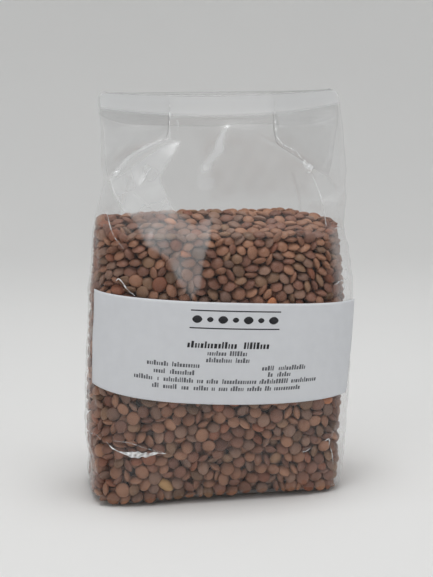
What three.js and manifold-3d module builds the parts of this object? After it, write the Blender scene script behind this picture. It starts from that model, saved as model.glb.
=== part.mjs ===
// A clear side-gusset bag of lentils that stands on its block bottom, with its top folded over to the
// back and a paper label wrapped round the front. Millimetres, +Z up, front towards -Y, +X to the right.
// The sealed pack is one solid: the filled body with the low relief of the seeds behind the film, the
// empty neck with its side folds, and the folded flap. The label is a thin curved solid just clear of it.
import * as THREE from "three";
import { mergeVertices } from "three/addons/utils/BufferGeometryUtils.js";
import Module from "manifold-3d";

// Driving sizes of the bag: the film laid flat, the height it stands, the seeds' level, and where the
// tucked sides end under the pressed band of the top.
const FILM_WIDTH = 100;
const GUSSET_DEPTH = 29;
const BAG_HEIGHT = 165;
const FILL_HEIGHT = 115;
const GUSSET_TOP = 154;
const BAND_FOOT = 156;
const NECK_HALF = FILM_WIDTH / 2;

// Cross-sections of the bag from the floor up: half width, half depth and squareness of the rounded
// outline, the sideways lean of its centre, and how far each side fold is tucked in.
const STATIONS = [
  { z: 0, halfWidth: 49, halfDepth: 21.5, squareness: 6, lean: -2.7, tuck: 0 },
  { z: 2.5, halfWidth: 52.4, halfDepth: 24.6, squareness: 5.8, lean: -2.8, tuck: 0 },
  { z: 20, halfWidth: 54.1, halfDepth: 28.4, squareness: 4.2, lean: -1.8, tuck: 0 },
  { z: 58, halfWidth: 55.1, halfDepth: 32.2, squareness: 2.9, lean: 0.2, tuck: 0 },
  { z: 82, halfWidth: 55.1, halfDepth: 31.4, squareness: 2.8, lean: 1.5, tuck: 0 },
  { z: 96, halfWidth: 53.7, halfDepth: 29.4, squareness: 2.8, lean: 1.5, tuck: 0 },
  { z: 110, halfWidth: 51.9, halfDepth: 25.2, squareness: 2.9, lean: 0.8, tuck: 0 },
  { z: FILL_HEIGHT, halfWidth: 51.4, halfDepth: 23.4, squareness: 3, lean: 1.5, tuck: 0 },
  { z: 128, halfWidth: 50.4, halfDepth: 18.8, squareness: 3.4, lean: 3.2, tuck: 0.8 },
  { z: 136, halfWidth: 50.3, halfDepth: 14.2, squareness: 3.4, lean: 3.1, tuck: 9 },
  { z: 148, halfWidth: 50.2, halfDepth: 7.2, squareness: 3.4, lean: 2.9, tuck: 28 },
  { z: GUSSET_TOP, halfWidth: 50.1, halfDepth: 3.6, squareness: 3.4, lean: 2.6, tuck: GUSSET_DEPTH },
  { z: BAND_FOOT, halfWidth: NECK_HALF, halfDepth: 2.8, squareness: 3.4, lean: 2.4, tuck: 0 },
  { z: BAG_HEIGHT, halfWidth: NECK_HALF - 0.4, halfDepth: 1.6, squareness: 3.4, lean: 1.8, tuck: 0 },
];
// Between these heights the rounded outline of the filled body turns into the folded outline of the neck.
const NECK_START = 112;
const NECK_FULL = 134;
// In the neck, the depth at the side edges as a share of the depth in the middle, and the edge's thickness.
const EDGE_SHARE = 0.72;
const EDGE_THICKNESS = 0.5;
// The folded top edge sags in the middle and rises to the ends, more to the right: its height above
// BAG_HEIGHT by the share of the half width, starting from the foot of the rise.
const TOP_SAG = 1.2;
const TOP_END_RISE = 1.75;
const TOP_SLANT = 0.75;
const TOP_RISE_FOOT = 150;
const TOP_HALF = 45;

// The mesh of the bag: points on a quarter of the outline, and the steps between its levels.
const FRONT_STEPS = 14;
const SIDE_STEPS = 8;
const FILLED_STEP = 2.9;
const NECK_STEP = 4;

// Relief of the seeds under the film: crowns and hollows take turns, each pressed in by a random share.
const SEED_RELIEF = 1.1;
const CROWN_SHARE = 0.25;
const HOLLOW_SHARE = 0.6;
const RELIEF_FLOOR = 3;
const RELIEF_TOP = FILL_HEIGHT - 2;
const RELIEF_SEED = 4711;

// The flap at the back, and its turn over the top edge as heights above that edge and distances behind
// the back panel.
const FLAP_LENGTH = 15;
const FLAP_THICKNESS = 0.9;
const FLAP_GAP = 0.5;
const FLAP_STEPS = 5;
const FLAP_TURN = [
  [-1.2, -1.6],
  [0.2, -1],
  [0.4, 0.2],
];

// The label, measured along the film, and how it sits on the bag.
const LABEL_HEIGHT = 40;
const LABEL_CENTRE_HEIGHT = 63.1;
const LABEL_LEFT = -61;
const LABEL_RIGHT = 56;
const LABEL_SLOPE = -0.061;
// The bulge of the bag draws the label's ends up: its lower corners by these heights, its upper corners
// by a fifth of them.
const LABEL_LEFT_RISE = 3.4;
const LABEL_RIGHT_RISE = 2.2;
const UPPER_CORNER_SHARE = 0.2;
const LABEL_THICKNESS = 0.5;
const LABEL_GAP = 0.35;
const LABEL_COLUMNS = 44;
const LABEL_ROWS = 8;
const FINE_FRONT_STEPS = 60;
const FINE_SIDE_STEPS = 40;

const FILM_COLOUR = 0x8a7467;
const LABEL_COLOUR = 0xd9dce0;

// Smooth value of one field of the stations at a height, without overshoot between them.
function stationValue(field, z) {
  const last = STATIONS.length - 1;
  const slopes = [];
  for (let i = 0; i < last; i++) {
    const rise = STATIONS[i + 1][field] - STATIONS[i][field];
    slopes.push(rise / (STATIONS[i + 1].z - STATIONS[i].z));
  }
  const tangent = (i) => {
    if (i === 0) return slopes[0];
    if (i === last) return slopes[last - 1];
    const [below, above] = [slopes[i - 1], slopes[i]];
    return below * above <= 0 ? 0 : (2 * below * above) / (below + above);
  };
  let i = 0;
  while (i < last - 1 && z > STATIONS[i + 1].z) i++;
  const span = STATIONS[i + 1].z - STATIONS[i].z;
  const t = THREE.MathUtils.clamp((z - STATIONS[i].z) / span, 0, 1);
  const [t2, t3] = [t * t, t * t * t];
  return (
    (2 * t3 - 3 * t2 + 1) * STATIONS[i][field] +
    (t3 - 2 * t2 + t) * span * tangent(i) +
    (3 * t2 - 2 * t3) * STATIONS[i + 1][field] +
    (t3 - t2) * span * tangent(i + 1)
  );
}

// One quarter of the bag's outline at a height, from the middle of the front to the side fold.
function quarterOutline(z, frontSteps, sideSteps) {
  const [a, b, n] = ["halfWidth", "halfDepth", "squareness"].map((f) => stationValue(f, z));
  const tuck = stationValue("tuck", z);
  const folded = THREE.MathUtils.smoothstep(z, NECK_START, NECK_FULL);
  const cornerShare = Math.pow(0.5, 1 / n);
  const [roundX, roundY] = [a * cornerShare, b * cornerShare];
  const edgeY = b * EDGE_SHARE;
  const points = [];
  for (let k = 0; k <= frontSteps; k++) {
    const p = k / frontSteps;
    const x = roundX * p;
    const round = new THREE.Vector2(x, -b * Math.pow(1 - Math.pow(x / a, n), 1 / n));
    const flat = new THREE.Vector2(a * p, -(b - (b - edgeY) * p * p));
    points.push(round.lerp(flat, folded));
  }
  for (let k = 1; k <= sideSteps; k++) {
    const q = k / sideSteps;
    const y = roundY * (1 - q);
    const round = new THREE.Vector2(a * Math.pow(1 - Math.pow(y / b, n), 1 / n), -y);
    const inward = (k - 1) / (sideSteps - 1);
    const innerY = Math.max(edgeY - EDGE_THICKNESS, EDGE_THICKNESS);
    const flat = new THREE.Vector2(a - tuck * inward, -innerY * (1 - inward));
    points.push(round.lerp(flat, folded));
  }
  return points;
}

// The closed outline at a height as 2D points, counter-clockwise from the middle of the front.
function outline(z, frontSteps, sideSteps) {
  const quarter = quarterOutline(z, frontSteps, sideSteps);
  const lean = stationValue("lean", z);
  const mirrored = (sx, sy) => quarter.map((p) => new THREE.Vector2(sx * p.x, sy * p.y));
  const frontRight = mirrored(1, 1);
  const backRight = mirrored(1, -1).reverse().slice(1);
  const backLeft = mirrored(-1, -1).slice(1);
  const frontLeft = mirrored(-1, 1).reverse().slice(1, -1);
  const loop = [...frontRight, ...backRight, ...backLeft, ...frontLeft];
  return loop.map((p) => p.add(new THREE.Vector2(lean, 0)));
}

// Outward direction of a closed counter-clockwise outline at one of its points.
function outwardAt(loop, i) {
  const next = loop[(i + 1) % loop.length];
  const previous = loop[(i + loop.length - 1) % loop.length];
  const along = next.clone().sub(previous).normalize();
  return new THREE.Vector2(along.y, -along.x);
}

// How far the top edge's sag lifts or lowers a point of the bag.
function topRise(x, z) {
  const share = x / TOP_HALF;
  const atTop = TOP_END_RISE * share * share + TOP_SLANT * share - TOP_SAG;
  return atTop * THREE.MathUtils.smoothstep(z, TOP_RISE_FOOT, BAG_HEIGHT);
}

// Repeatable random numbers from 0 to 1.
function randomFrom(seed) {
  let state = seed;
  return () => {
    state = (Math.imul(state, 1664525) + 1013904223) >>> 0;
    return state / 4294967296;
  };
}

// A closed surface through rings of equal length, from the lowest to the highest, with flat ends.
function loft(rings) {
  const count = rings[0].length;
  const positions = [];
  const indices = [];
  for (const ring of rings) for (const p of ring) positions.push(p.x, p.y, p.z);
  for (let j = 0; j < rings.length - 1; j++) {
    for (let i = 0; i < count; i++) {
      const next = (i + 1) % count;
      const [a, b] = [j * count + i, j * count + next];
      const [c, d] = [a + count, b + count];
      if ((i + j) % 2) indices.push(a, b, c, b, d, c);
      else indices.push(a, b, d, a, d, c);
    }
  }
  for (const [ring, up] of [[0, false], [rings.length - 1, true]]) {
    const middle = rings[ring].reduce((sum, p) => sum.add(p), new THREE.Vector3()).divideScalar(count);
    const centre = positions.push(middle.x, middle.y, middle.z) / 3 - 1;
    for (let i = 0; i < count; i++) {
      const [a, b] = [ring * count + i, ring * count + ((i + 1) % count)];
      if (up) indices.push(centre, a, b);
      else indices.push(centre, b, a);
    }
  }
  const geometry = new THREE.BufferGeometry();
  geometry.setAttribute("position", new THREE.Float32BufferAttribute(positions, 3));
  geometry.setIndex(indices);
  return geometry;
}

// The filled bag up to its folded top, with the seeds' low relief pressed into the film.
function bagBody() {
  const random = randomFrom(RELIEF_SEED);
  const levels = STATIONS.slice(0, 2).map((s) => s.z);
  while (levels.at(-1) + FILLED_STEP < RELIEF_TOP) levels.push(levels.at(-1) + FILLED_STEP);
  const neckLevels = Math.ceil((GUSSET_TOP - levels.at(-1)) / NECK_STEP);
  const neckStep = (GUSSET_TOP - levels.at(-1)) / neckLevels;
  for (let k = 0; k < neckLevels; k++) levels.push(levels.at(-1) + neckStep);
  levels.push(BAND_FOOT, 0.5 * (BAND_FOOT + BAG_HEIGHT), BAG_HEIGHT);
  const rings = levels.map((z, j) => {
    const loop = outline(z, FRONT_STEPS, SIDE_STEPS);
    const seeded = z > RELIEF_FLOOR && z < RELIEF_TOP;
    return loop.map((p, i) => {
      const crown = (i + j) % 2 === 1;
      const share = crown ? CROWN_SHARE * random() : THREE.MathUtils.lerp(HOLLOW_SHARE, 1, random());
      const inward = outwardAt(loop, i).multiplyScalar(seeded ? -SEED_RELIEF * share : 0);
      return new THREE.Vector3(p.x + inward.x, p.y + inward.y, z + topRise(p.x, z));
    });
  });
  return loft(rings);
}

// A sheet of given thickness over a grid of points and outward normals: rows of columns.
function thickSheet(grid, near, far) {
  const [rows, columns] = [grid.length, grid[0].length];
  const positions = [];
  const indices = [];
  for (const offset of [near, far]) {
    for (const row of grid) {
      for (const { point, normal } of row) {
        const p = point.clone().addScaledVector(normal, offset);
        positions.push(p.x, p.y, p.z);
      }
    }
  }
  const at = (side, j, i) => side * rows * columns + j * columns + i;
  const quad = (a, b, c, d) => indices.push(a, b, c, a, c, d);
  for (let j = 0; j < rows - 1; j++) {
    for (let i = 0; i < columns - 1; i++) {
      quad(at(1, j, i), at(1, j, i + 1), at(1, j + 1, i + 1), at(1, j + 1, i));
      quad(at(0, j, i), at(0, j + 1, i), at(0, j + 1, i + 1), at(0, j, i + 1));
    }
  }
  for (let i = 0; i < columns - 1; i++) {
    quad(at(0, 0, i), at(0, 0, i + 1), at(1, 0, i + 1), at(1, 0, i));
    quad(at(1, rows - 1, i), at(1, rows - 1, i + 1), at(0, rows - 1, i + 1), at(0, rows - 1, i));
  }
  for (let j = 0; j < rows - 1; j++) {
    quad(at(1, j, 0), at(1, j + 1, 0), at(0, j + 1, 0), at(0, j, 0));
    const end = columns - 1;
    quad(at(0, j, end), at(0, j + 1, end), at(1, j + 1, end), at(1, j, end));
  }
  const geometry = new THREE.BufferGeometry();
  geometry.setAttribute("position", new THREE.Float32BufferAttribute(positions, 3));
  geometry.setIndex(indices);
  return geometry;
}

// Where a distance along the film from the middle of the front lies at a height, and which way is out.
function onFront(z, distance) {
  const loop = outline(z, FINE_FRONT_STEPS, FINE_SIDE_STEPS);
  const step = distance < 0 ? -1 : 1;
  let left = Math.abs(distance);
  let i = 0;
  for (;;) {
    const next = (i + step + loop.length) % loop.length;
    const length = loop[i].distanceTo(loop[next]);
    if (length >= left) {
      const here = loop[i].clone().lerp(loop[next], left / length);
      const out = outwardAt(loop, i).lerp(outwardAt(loop, next), left / length).normalize();
      return {
        point: new THREE.Vector3(here.x, here.y, z),
        normal: new THREE.Vector3(out.x, out.y, 0),
      };
    }
    left -= length;
    i = next;
  }
}

// The paper label, a little askew, wrapped round the front and both front corners.
function labelSheet() {
  const grid = [];
  for (let j = 0; j <= LABEL_ROWS; j++) {
    const row = [];
    for (let i = 0; i <= LABEL_COLUMNS; i++) {
      const along = THREE.MathUtils.lerp(LABEL_LEFT, LABEL_RIGHT, i / LABEL_COLUMNS);
      const upShare = j / LABEL_ROWS;
      const [endRise, end] = along < 0 ? [LABEL_LEFT_RISE, LABEL_LEFT] : [LABEL_RIGHT_RISE, LABEL_RIGHT];
      const rise = endRise * (along / end) ** 2;
      const drawn = rise * THREE.MathUtils.lerp(1, UPPER_CORNER_SHARE, upShare);
      const above = LABEL_HEIGHT * (upShare - 0.5) + drawn;
      row.push(onFront(LABEL_CENTRE_HEIGHT + above + LABEL_SLOPE * along, along - LABEL_SLOPE * above));
    }
    grid.push(row);
  }
  return thickSheet(grid, LABEL_GAP, LABEL_GAP + LABEL_THICKNESS);
}

// The flap: the bag's top end, folded over the back and lying along it.
function flapSheet() {
  const grid = [];
  const columns = 2 * FRONT_STEPS;
  const half = 0.5 * FLAP_THICKNESS;
  const rows = FLAP_TURN.map(([above, behind]) => [BAG_HEIGHT + above, behind]);
  for (let k = 0; k < FLAP_STEPS; k++) {
    const drop = THREE.MathUtils.lerp(0.12, 1, k / (FLAP_STEPS - 1));
    rows.push([BAG_HEIGHT - drop * FLAP_LENGTH, half + FLAP_GAP]);
  }
  for (let r = 0; r < rows.length; r++) {
    const [z, behind] = rows[r];
    const before = rows[Math.max(r - 1, 0)];
    const after = rows[Math.min(r + 1, rows.length - 1)];
    const depthAt = (row) => stationValue("halfDepth", row[0]) + row[1];
    const fall = new THREE.Vector2(depthAt(after) - depthAt(before), after[0] - before[0]).normalize();
    const [a, b] = [stationValue("halfWidth", z), stationValue("halfDepth", z)];
    const row = [];
    for (let i = 0; i <= columns; i++) {
      const p = 1 - (2 * i) / columns;
      const x = stationValue("lean", z) - a * p;
      const y = b - (b - b * EDGE_SHARE) * p * p + behind;
      row.push({
        point: new THREE.Vector3(x, y, z + topRise(x, z)),
        normal: new THREE.Vector3(0, -fall.y, fall.x),
      });
    }
    grid.push(row);
  }
  return thickSheet(grid, -half, half);
}

const wasm = await Module();
wasm.setup();

// A closed geometry as a solid that can be joined to another.
function solidOf(geometry) {
  const merged = mergeVertices(geometry);
  return new wasm.Manifold(
    new wasm.Mesh({
      numProp: 3,
      vertProperties: new Float32Array(merged.attributes.position.array),
      triVerts: new Uint32Array(merged.index.array),
    }),
  );
}

// Two closed geometries joined into one.
function joined(first, second) {
  const mesh = solidOf(first).add(solidOf(second)).getMesh();
  const geometry = new THREE.BufferGeometry();
  geometry.setAttribute("position", new THREE.BufferAttribute(mesh.vertProperties, 3));
  geometry.setIndex(new THREE.BufferAttribute(mesh.triVerts, 1));
  return geometry;
}

// A named mesh with its own material.
function piece(name, geometry, colour, roughness) {
  const material = new THREE.MeshStandardMaterial({ color: colour, roughness, metalness: 0 });
  const mesh = new THREE.Mesh(geometry, material);
  mesh.name = name;
  mesh.geometry.computeVertexNormals();
  return mesh;
}

const group = new THREE.Group();
group.add(piece("bag", joined(bagBody(), flapSheet()), FILM_COLOUR, 0.35));
group.add(piece("label", labelSheet(), LABEL_COLOUR, 0.8));

// The origin is the middle of the footprint of the whole pack.
const middle = new THREE.Box3().setFromObject(group).getCenter(new THREE.Vector3());
for (const mesh of group.children) mesh.position.set(-middle.x, -middle.y, 0);

export default group;
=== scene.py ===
"""Looks of a clear side-gusset bag of lentils with a paper label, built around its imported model.

Forms are worked out in the bag's own frame (front towards -Y, X to the right, Z up) and become metres in
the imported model's frame when a mesh is made. Every length is in millimetres where its text names no unit.
"""

import logging
import math
from dataclasses import dataclass, field
from enum import Enum

import bpy
import numpy as np
from mathutils import Matrix, Vector, kdtree


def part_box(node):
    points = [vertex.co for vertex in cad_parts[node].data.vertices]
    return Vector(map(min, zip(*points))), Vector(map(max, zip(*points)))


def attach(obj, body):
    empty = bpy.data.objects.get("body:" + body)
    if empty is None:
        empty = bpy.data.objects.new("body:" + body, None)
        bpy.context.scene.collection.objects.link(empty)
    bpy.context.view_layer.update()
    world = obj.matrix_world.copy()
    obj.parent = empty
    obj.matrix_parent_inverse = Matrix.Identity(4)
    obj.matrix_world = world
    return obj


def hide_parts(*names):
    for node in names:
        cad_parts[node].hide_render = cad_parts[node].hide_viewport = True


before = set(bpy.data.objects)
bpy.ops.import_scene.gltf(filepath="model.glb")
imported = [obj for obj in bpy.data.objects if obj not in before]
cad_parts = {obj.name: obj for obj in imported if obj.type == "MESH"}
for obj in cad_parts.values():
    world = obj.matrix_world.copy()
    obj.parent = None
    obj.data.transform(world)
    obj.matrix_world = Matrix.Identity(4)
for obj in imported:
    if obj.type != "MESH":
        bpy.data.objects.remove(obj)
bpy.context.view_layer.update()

log = logging.getLogger("lentil_bag")

MM = 0.001
BODY = "root"
# Refractive index of polypropylene
FILM_IOR = 1.49
# Thickness of the print, more than that of real toner so that it closes
INK = 0.04

Array = np.ndarray
Colour = tuple[float, float, float, float]
Sheet = tuple[Array, list]


def linear(srgb: str) -> Colour:
    """Turns an sRGB hex colour into the linear colour that shaders take.

    Args:
        srgb: Six hex digits, red first.

    Returns:
        Linear red, green and blue, and full alpha.
    """
    channels = [int(srgb[i : i + 2], 16) / 255 for i in (0, 2, 4)]
    return (*(c / 12.92 if c <= 0.04045 else ((c + 0.055) / 1.055) ** 2.4 for c in channels), 1.0)


def add_node(
    tree: bpy.types.NodeTree, kind: str, settings: dict | None = None, links: dict | None = None
) -> bpy.types.Node:
    """Adds one node to a tree.

    Args:
        tree: The tree that gets the node.
        kind: The node's type, without the words that every type starts with.
        settings: Values by name: a property of the node, or else the name or number of an input.
        links: What feeds each input, by its name or number: a socket, or a node for its first output.

    Returns:
        The new node.
    """
    node = tree.nodes.new("ShaderNode" + kind)
    for name, value in (settings or {}).items():
        if isinstance(name, str) and hasattr(node, name):
            setattr(node, name, value)
        else:
            node.inputs[name].default_value = value
    for name, source in (links or {}).items():
        tree.links.new(source.outputs[0] if isinstance(source, bpy.types.Node) else source, node.inputs[name])
    return node


def new_material(name: str) -> tuple[bpy.types.Material, bpy.types.NodeTree]:
    """Makes an empty node material.

    Args:
        name: The material's name.

    Returns:
        The material and its cleared node tree.
    """
    material = bpy.data.materials.new(name)
    material.use_nodes = True
    material.node_tree.nodes.clear()
    return material, material.node_tree


def smoothstep(value: Array, low: float, high: float) -> Array:
    """Rises smoothly from 0 at low to 1 at high.

    Args:
        value: Where to take it.
        low: Start of the rise.
        high: End of the rise.

    Returns:
        The share from 0 to 1 for each value.
    """
    t = np.clip((value - low) / (high - low), 0, 1)
    return t * t * (3 - 2 * t)


def monotone(heights: Array, values: Array, z: Array) -> Array:
    """Interpolates without overshoot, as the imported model's own form does.

    Args:
        heights: Rising heights of the known values.
        values: The known values.
        z: Heights at which to take the curve.

    Returns:
        The curve's values at z.
    """
    slopes = np.diff(values) / np.diff(heights)
    below, above = slopes[:-1], slopes[1:]
    agree = below * above > 0
    inner = np.where(agree, 2 * below * above / np.where(agree, below + above, 1), 0)
    tangents = np.concatenate([slopes[:1], inner, slopes[-1:]])
    i = np.clip(np.searchsorted(heights, z) - 1, 0, len(slopes) - 1)
    span = heights[i + 1] - heights[i]
    t = np.clip((z - heights[i]) / span, 0, 1)
    t2, t3 = t * t, t * t * t
    return (
        (2 * t3 - 3 * t2 + 1) * values[i]
        + (t3 - 2 * t2 + t) * span * tangents[i]
        + (3 * t2 - 2 * t3) * values[i + 1]
        + (t3 - t2) * span * tangents[i + 1]
    )


def waves(points: Array, length: float, count: int, seed: int) -> Array:
    """Sums plane waves in random directions into smooth uneven relief.

    Args:
        points: Points, one per row.
        length: Typical length of a wave.
        count: How many waves are added.
        seed: Seed of the directions and phases.

    Returns:
        One value per point, mostly from -1 to 1.
    """
    random = np.random.default_rng(seed)
    directions = random.normal(size=(count, 3))
    directions /= np.linalg.norm(directions, axis=1, keepdims=True)
    lengths = length * random.uniform(0.7, 1.5, count)
    phases = random.uniform(0, 2 * math.pi, count)
    total = np.zeros(len(points))
    for direction, wave, phase in zip(directions, lengths, phases):
        total += np.cos(points @ direction * (2 * math.pi / wave) + phase)
    return total / math.sqrt(count)


def distance_to_path(points: Array, path: Array) -> tuple[Array, Array]:
    """Measures how far points in a plane are from a path of straight pieces.

    Args:
        points: Points in the plane, one per row.
        path: The path's corners, one per row.

    Returns:
        The distance of each point, and how far along the path its nearest place lies, from 0 to 1.
    """
    best = np.full(len(points), np.inf)
    along = np.zeros(len(points))
    lengths = np.linalg.norm(np.diff(path, axis=0), axis=1)
    starts = np.concatenate([[0], np.cumsum(lengths)])
    for start, end, before, length in zip(path[:-1], path[1:], starts, lengths):
        share = np.clip((points - start) @ (end - start) / length**2, 0, 1)
        far = np.linalg.norm(points - (start + share[:, None] * (end - start)), axis=1)
        nearer = far < best
        best = np.where(nearer, far, best)
        along = np.where(nearer, (before + share * length) / starts[-1], along)
    return best, along


def inside_polygon(points: Array, corners: Array, softness: float) -> Array:
    """Fades from 0 outside a polygon in a plane to 1 inside it.

    Args:
        points: Points in the plane, one per row.
        corners: The polygon's corners, one per row.
        softness: Width of the fade at its border.

    Returns:
        The share from 0 to 1 for each point.
    """
    inside = np.zeros(len(points), bool)
    for (x1, z1), (x2, z2) in zip(corners, np.roll(corners, -1, axis=0)):
        crosses = (z1 > points[:, 1]) != (z2 > points[:, 1])
        rise = z2 - z1 if z2 != z1 else 1.0
        inside ^= crosses & (points[:, 0] < x1 + (points[:, 1] - z1) * (x2 - x1) / rise)
    border, _ = distance_to_path(points, np.vstack([corners, corners[:1]]))
    return smoothstep(np.where(inside, border, -border), -softness / 2, softness / 2)


@dataclass(frozen=True)
class Station:
    """One cross-section of the bag at a height, in millimetres.

    Args:
        z: Height above the floor.
        half_width: Half of the width, side to side.
        half_depth: Half of the depth, front to back.
        squareness: Power of the rounded outline, 2 for an ellipse and more towards a rectangle.
        lean: Sideways place of its centre.
    """

    z: float
    half_width: float
    half_depth: float
    squareness: float
    lean: float


@dataclass(frozen=True)
class Curve:
    """A smooth curve through known values, in millimetres.

    Args:
        places: Rising heights or places across the bag.
        values: The value at each place.
    """

    places: tuple[float, ...]
    values: tuple[float, ...]

    def at(self, place: Array) -> Array:
        """Gives the curve's value at each place."""
        return monotone(np.array(self.places), np.array(self.values), place)


@dataclass
class BagForm:
    """The bag's outer form, from the block bottom to the folded top.

    Args:
        stations: Cross-sections from the floor up.
        left_fold: How far the left side is tucked in at each height.
        right_fold: How far the right side is tucked in.
        neck_start: Height where the rounded outline starts to turn into the folded one.
        neck_full: Height where the outline is wholly folded.
        edge_share: In the neck, depth at the side edges as a share of the depth in the middle.
        edge_thickness: Thickness of the film's folded side edges.
        left_draw: How far the film's left edge is drawn in at each height.
        right_draw: How far its right edge is drawn in.
        foot: Lift of the front edge of the block bottom at places across the bag.
        press_low: Height of the lower border of the pressed top in its middle.
        press_bow: How much higher that border is at the sides.
        shift: From the form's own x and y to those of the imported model.
    """

    stations: tuple[Station, ...] = (
        Station(0, 49, 21.5, 6, -2.7),
        Station(2.5, 52.4, 24.6, 5.8, -2.8),
        Station(20, 54.1, 28.4, 4.2, -1.8),
        Station(58, 55.1, 32.2, 2.9, 0.2),
        Station(82, 55.1, 31.4, 2.8, 1.5),
        Station(96, 53.7, 29.4, 2.8, 1.5),
        Station(110, 51.9, 25.2, 2.9, 0.8),
        Station(115, 51.4, 23.4, 3, 1.5),
        Station(128, 50.4, 18.8, 3.4, 3.2),
        Station(136, 50.3, 14.2, 3.4, 3.1),
        Station(148, 50.2, 7.2, 3.4, 2.9),
        Station(154, 50.1, 3.6, 3.4, 2.6),
        Station(156, 50, 2.8, 3.4, 2.4),
        Station(165, 49.6, 1.6, 3.4, 1.8),
    )
    left_fold: Curve = Curve((125, 129, 136, 141, 146.5, 151, 165), (0, 0.6, 6.5, 13, 26.6, 27.6, 28.6))
    right_fold: Curve = Curve((122, 127, 135, 140, 144, 149.5, 165), (0, 2.4, 15.0, 22.8, 28.3, 29.4, 27.5))
    neck_start: float = 112
    neck_full: float = 134
    edge_share: float = 0.72
    edge_thickness: float = 0.5
    left_draw: Curve = Curve(
        (0, 4, 8, 12.5, 18, 24, 120, 125, 131, 137, 149, 156, 165),
        (0.2, 0.5, 0.95, 1.5, 0.85, 0, 0, 0.3, 1.05, 0.5, 0.5, 0, 0),
    )
    right_draw: Curve = Curve(
        (0, 118, 122, 126, 131, 137, 143, 149, 155, 161, 165),
        (0, 0, 0.2, 1.1, 1.9, 1.65, 1.4, 1.05, 0.7, 0.7, 0.9),
    )
    foot: Curve = Curve(
        (-46, -40, -36, -17, 5, 17, 26, 34, 42, 50), (0.6, 0.7, 1, 1.7, 2.1, 2.1, 1.6, 1.4, 0.8, 0.2)
    )
    press_low: float = 156.0
    press_bow: float = 2.6
    shift: tuple[float, float] = (0.0, 0.0)

    @property
    def top(self) -> float:
        """Height of the folded top."""
        return self.stations[-1].z

    def value(self, name: str, z: Array) -> Array:
        """Gives one field of the stations at heights.

        Args:
            name: The field.
            z: Heights.

        Returns:
            The field's value at each height.
        """
        heights = np.array([s.z for s in self.stations], float)
        values = np.array([getattr(s, name) for s in self.stations], float)
        return monotone(heights, values, np.asarray(z, float))

    def top_rise(self, x: Array, z: Array) -> Array:
        """Gives how far the sagging top edge lifts or lowers points.

        Args:
            x: Their place across the bag.
            z: Their height.

        Returns:
            The lift of each point.
        """
        share = x / 45
        return (1.75 * share**2 + 0.38 * share - 1.57) * smoothstep(z, 150, self.top)

    def foot_lift(self, points: Array) -> Array:
        """Gives how far the rounded lower edges in front and on the left stand above the floor.

        Args:
            points: Points, with x, y and z along the last axis.

        Returns:
            The lift of each point.
        """
        x, y, z = points[..., 0], points[..., 1], points[..., 2]
        front = self.foot.at(np.clip(x, self.foot.places[0], self.foot.places[-1])) * smoothstep(-y, 12, 22)
        left = 2.0 * smoothstep(-x, 45, 53) * (1 - smoothstep(y, 5, 20))
        return np.maximum(front, left) * (1 - smoothstep(z, 0, 9))

    def above_press(self, x: Array, z: Array) -> Array:
        """Gives how far points are above the curved lower border of the pressed top."""
        return z - (self.press_low + self.press_bow * (x / 48) ** 2)

    def corner_cut(self, x: Array, z: Array) -> Array:
        """Gives how far the round top corners draw the side edges in.

        Args:
            x: Place across the bag, which tells left from right.
            z: Height.

        Returns:
            The inset.
        """
        radius = np.where(x < 0, 2.5, 3.4)
        above = np.clip((z - (self.top - radius)) / radius, 0, 1)
        return radius * (1 - np.sqrt(1 - above**2))

    def quarter(self, z: Array, front_steps: int, side_steps: int, fold: Curve | None) -> Array:
        """Draws a quarter of the outline from the middle of the front to the side fold.

        Args:
            z: Heights, one per outline.
            front_steps: Steps across half of the front.
            side_steps: Steps across half of the side.
            fold: The side's tuck, or None for a side that isn't tucked in.

        Returns:
            Outlines by height and point, each with its x from the centre and its y.
        """
        a, b, n = (self.value(f, z)[:, None] for f in ("half_width", "half_depth", "squareness"))
        tuck = (fold.at(z) if fold else np.zeros(len(z)))[:, None]
        folded = smoothstep(z, self.neck_start, self.neck_full)[:, None]
        corner = 0.5 ** (1 / n)
        edge_y = b * self.edge_share
        p = np.arange(front_steps + 1)[None, :] / front_steps
        x = a * corner * p
        front_round = np.stack([x, -b * (1 - (x / a) ** n) ** (1 / n)], -1)
        front_flat = np.stack([a * p, -(b - (b - edge_y) * p * p)], -1)
        q = np.arange(1, side_steps + 1)[None, :] / side_steps
        y = b * corner * (1 - q)
        side_round = np.stack([a * (1 - (y / b) ** n) ** (1 / n), -y], -1)
        inward = (q * side_steps - 1) / (side_steps - 1)
        inner_y = np.maximum(edge_y - self.edge_thickness, self.edge_thickness)
        side_flat = np.stack([a - tuck * inward, -inner_y * (1 - inward)], -1)
        weight = folded[:, :, None]
        front = front_round * (1 - weight) + front_flat * weight
        side = side_round * (1 - weight) + side_flat * weight
        return np.concatenate([front, side], axis=1)

    def outlines(self, z: Array, front_steps: int, side_steps: int, tucked: bool) -> Array:
        """Draws whole outlines, counter-clockwise from the middle of the front.

        Args:
            z: Heights, one per outline.
            front_steps: Steps across half of the front.
            side_steps: Steps across half of the side.
            tucked: Whether the side folds are tucked in.

        Returns:
            Points by height and place, in millimetres in the form's frame.
        """
        right = self.quarter(z, front_steps, side_steps, self.right_fold if tucked else None)
        left = self.quarter(z, front_steps, side_steps, self.left_fold if tucked else None)
        lean = self.value("lean", z)[:, None, None]
        loop = np.concatenate(
            [
                right,
                (right * [1, -1])[:, ::-1][:, 1:],
                (left * [-1, -1])[:, 1:],
                (left * [-1, 1])[:, ::-1][:, 1:-1],
            ],
            axis=1,
        )
        loop = loop + np.concatenate([lean, np.zeros_like(lean)], axis=2)
        height = np.broadcast_to(np.asarray(z, float)[:, None, None], (*loop.shape[:2], 1))
        return np.concatenate([loop, height], axis=2)

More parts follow.
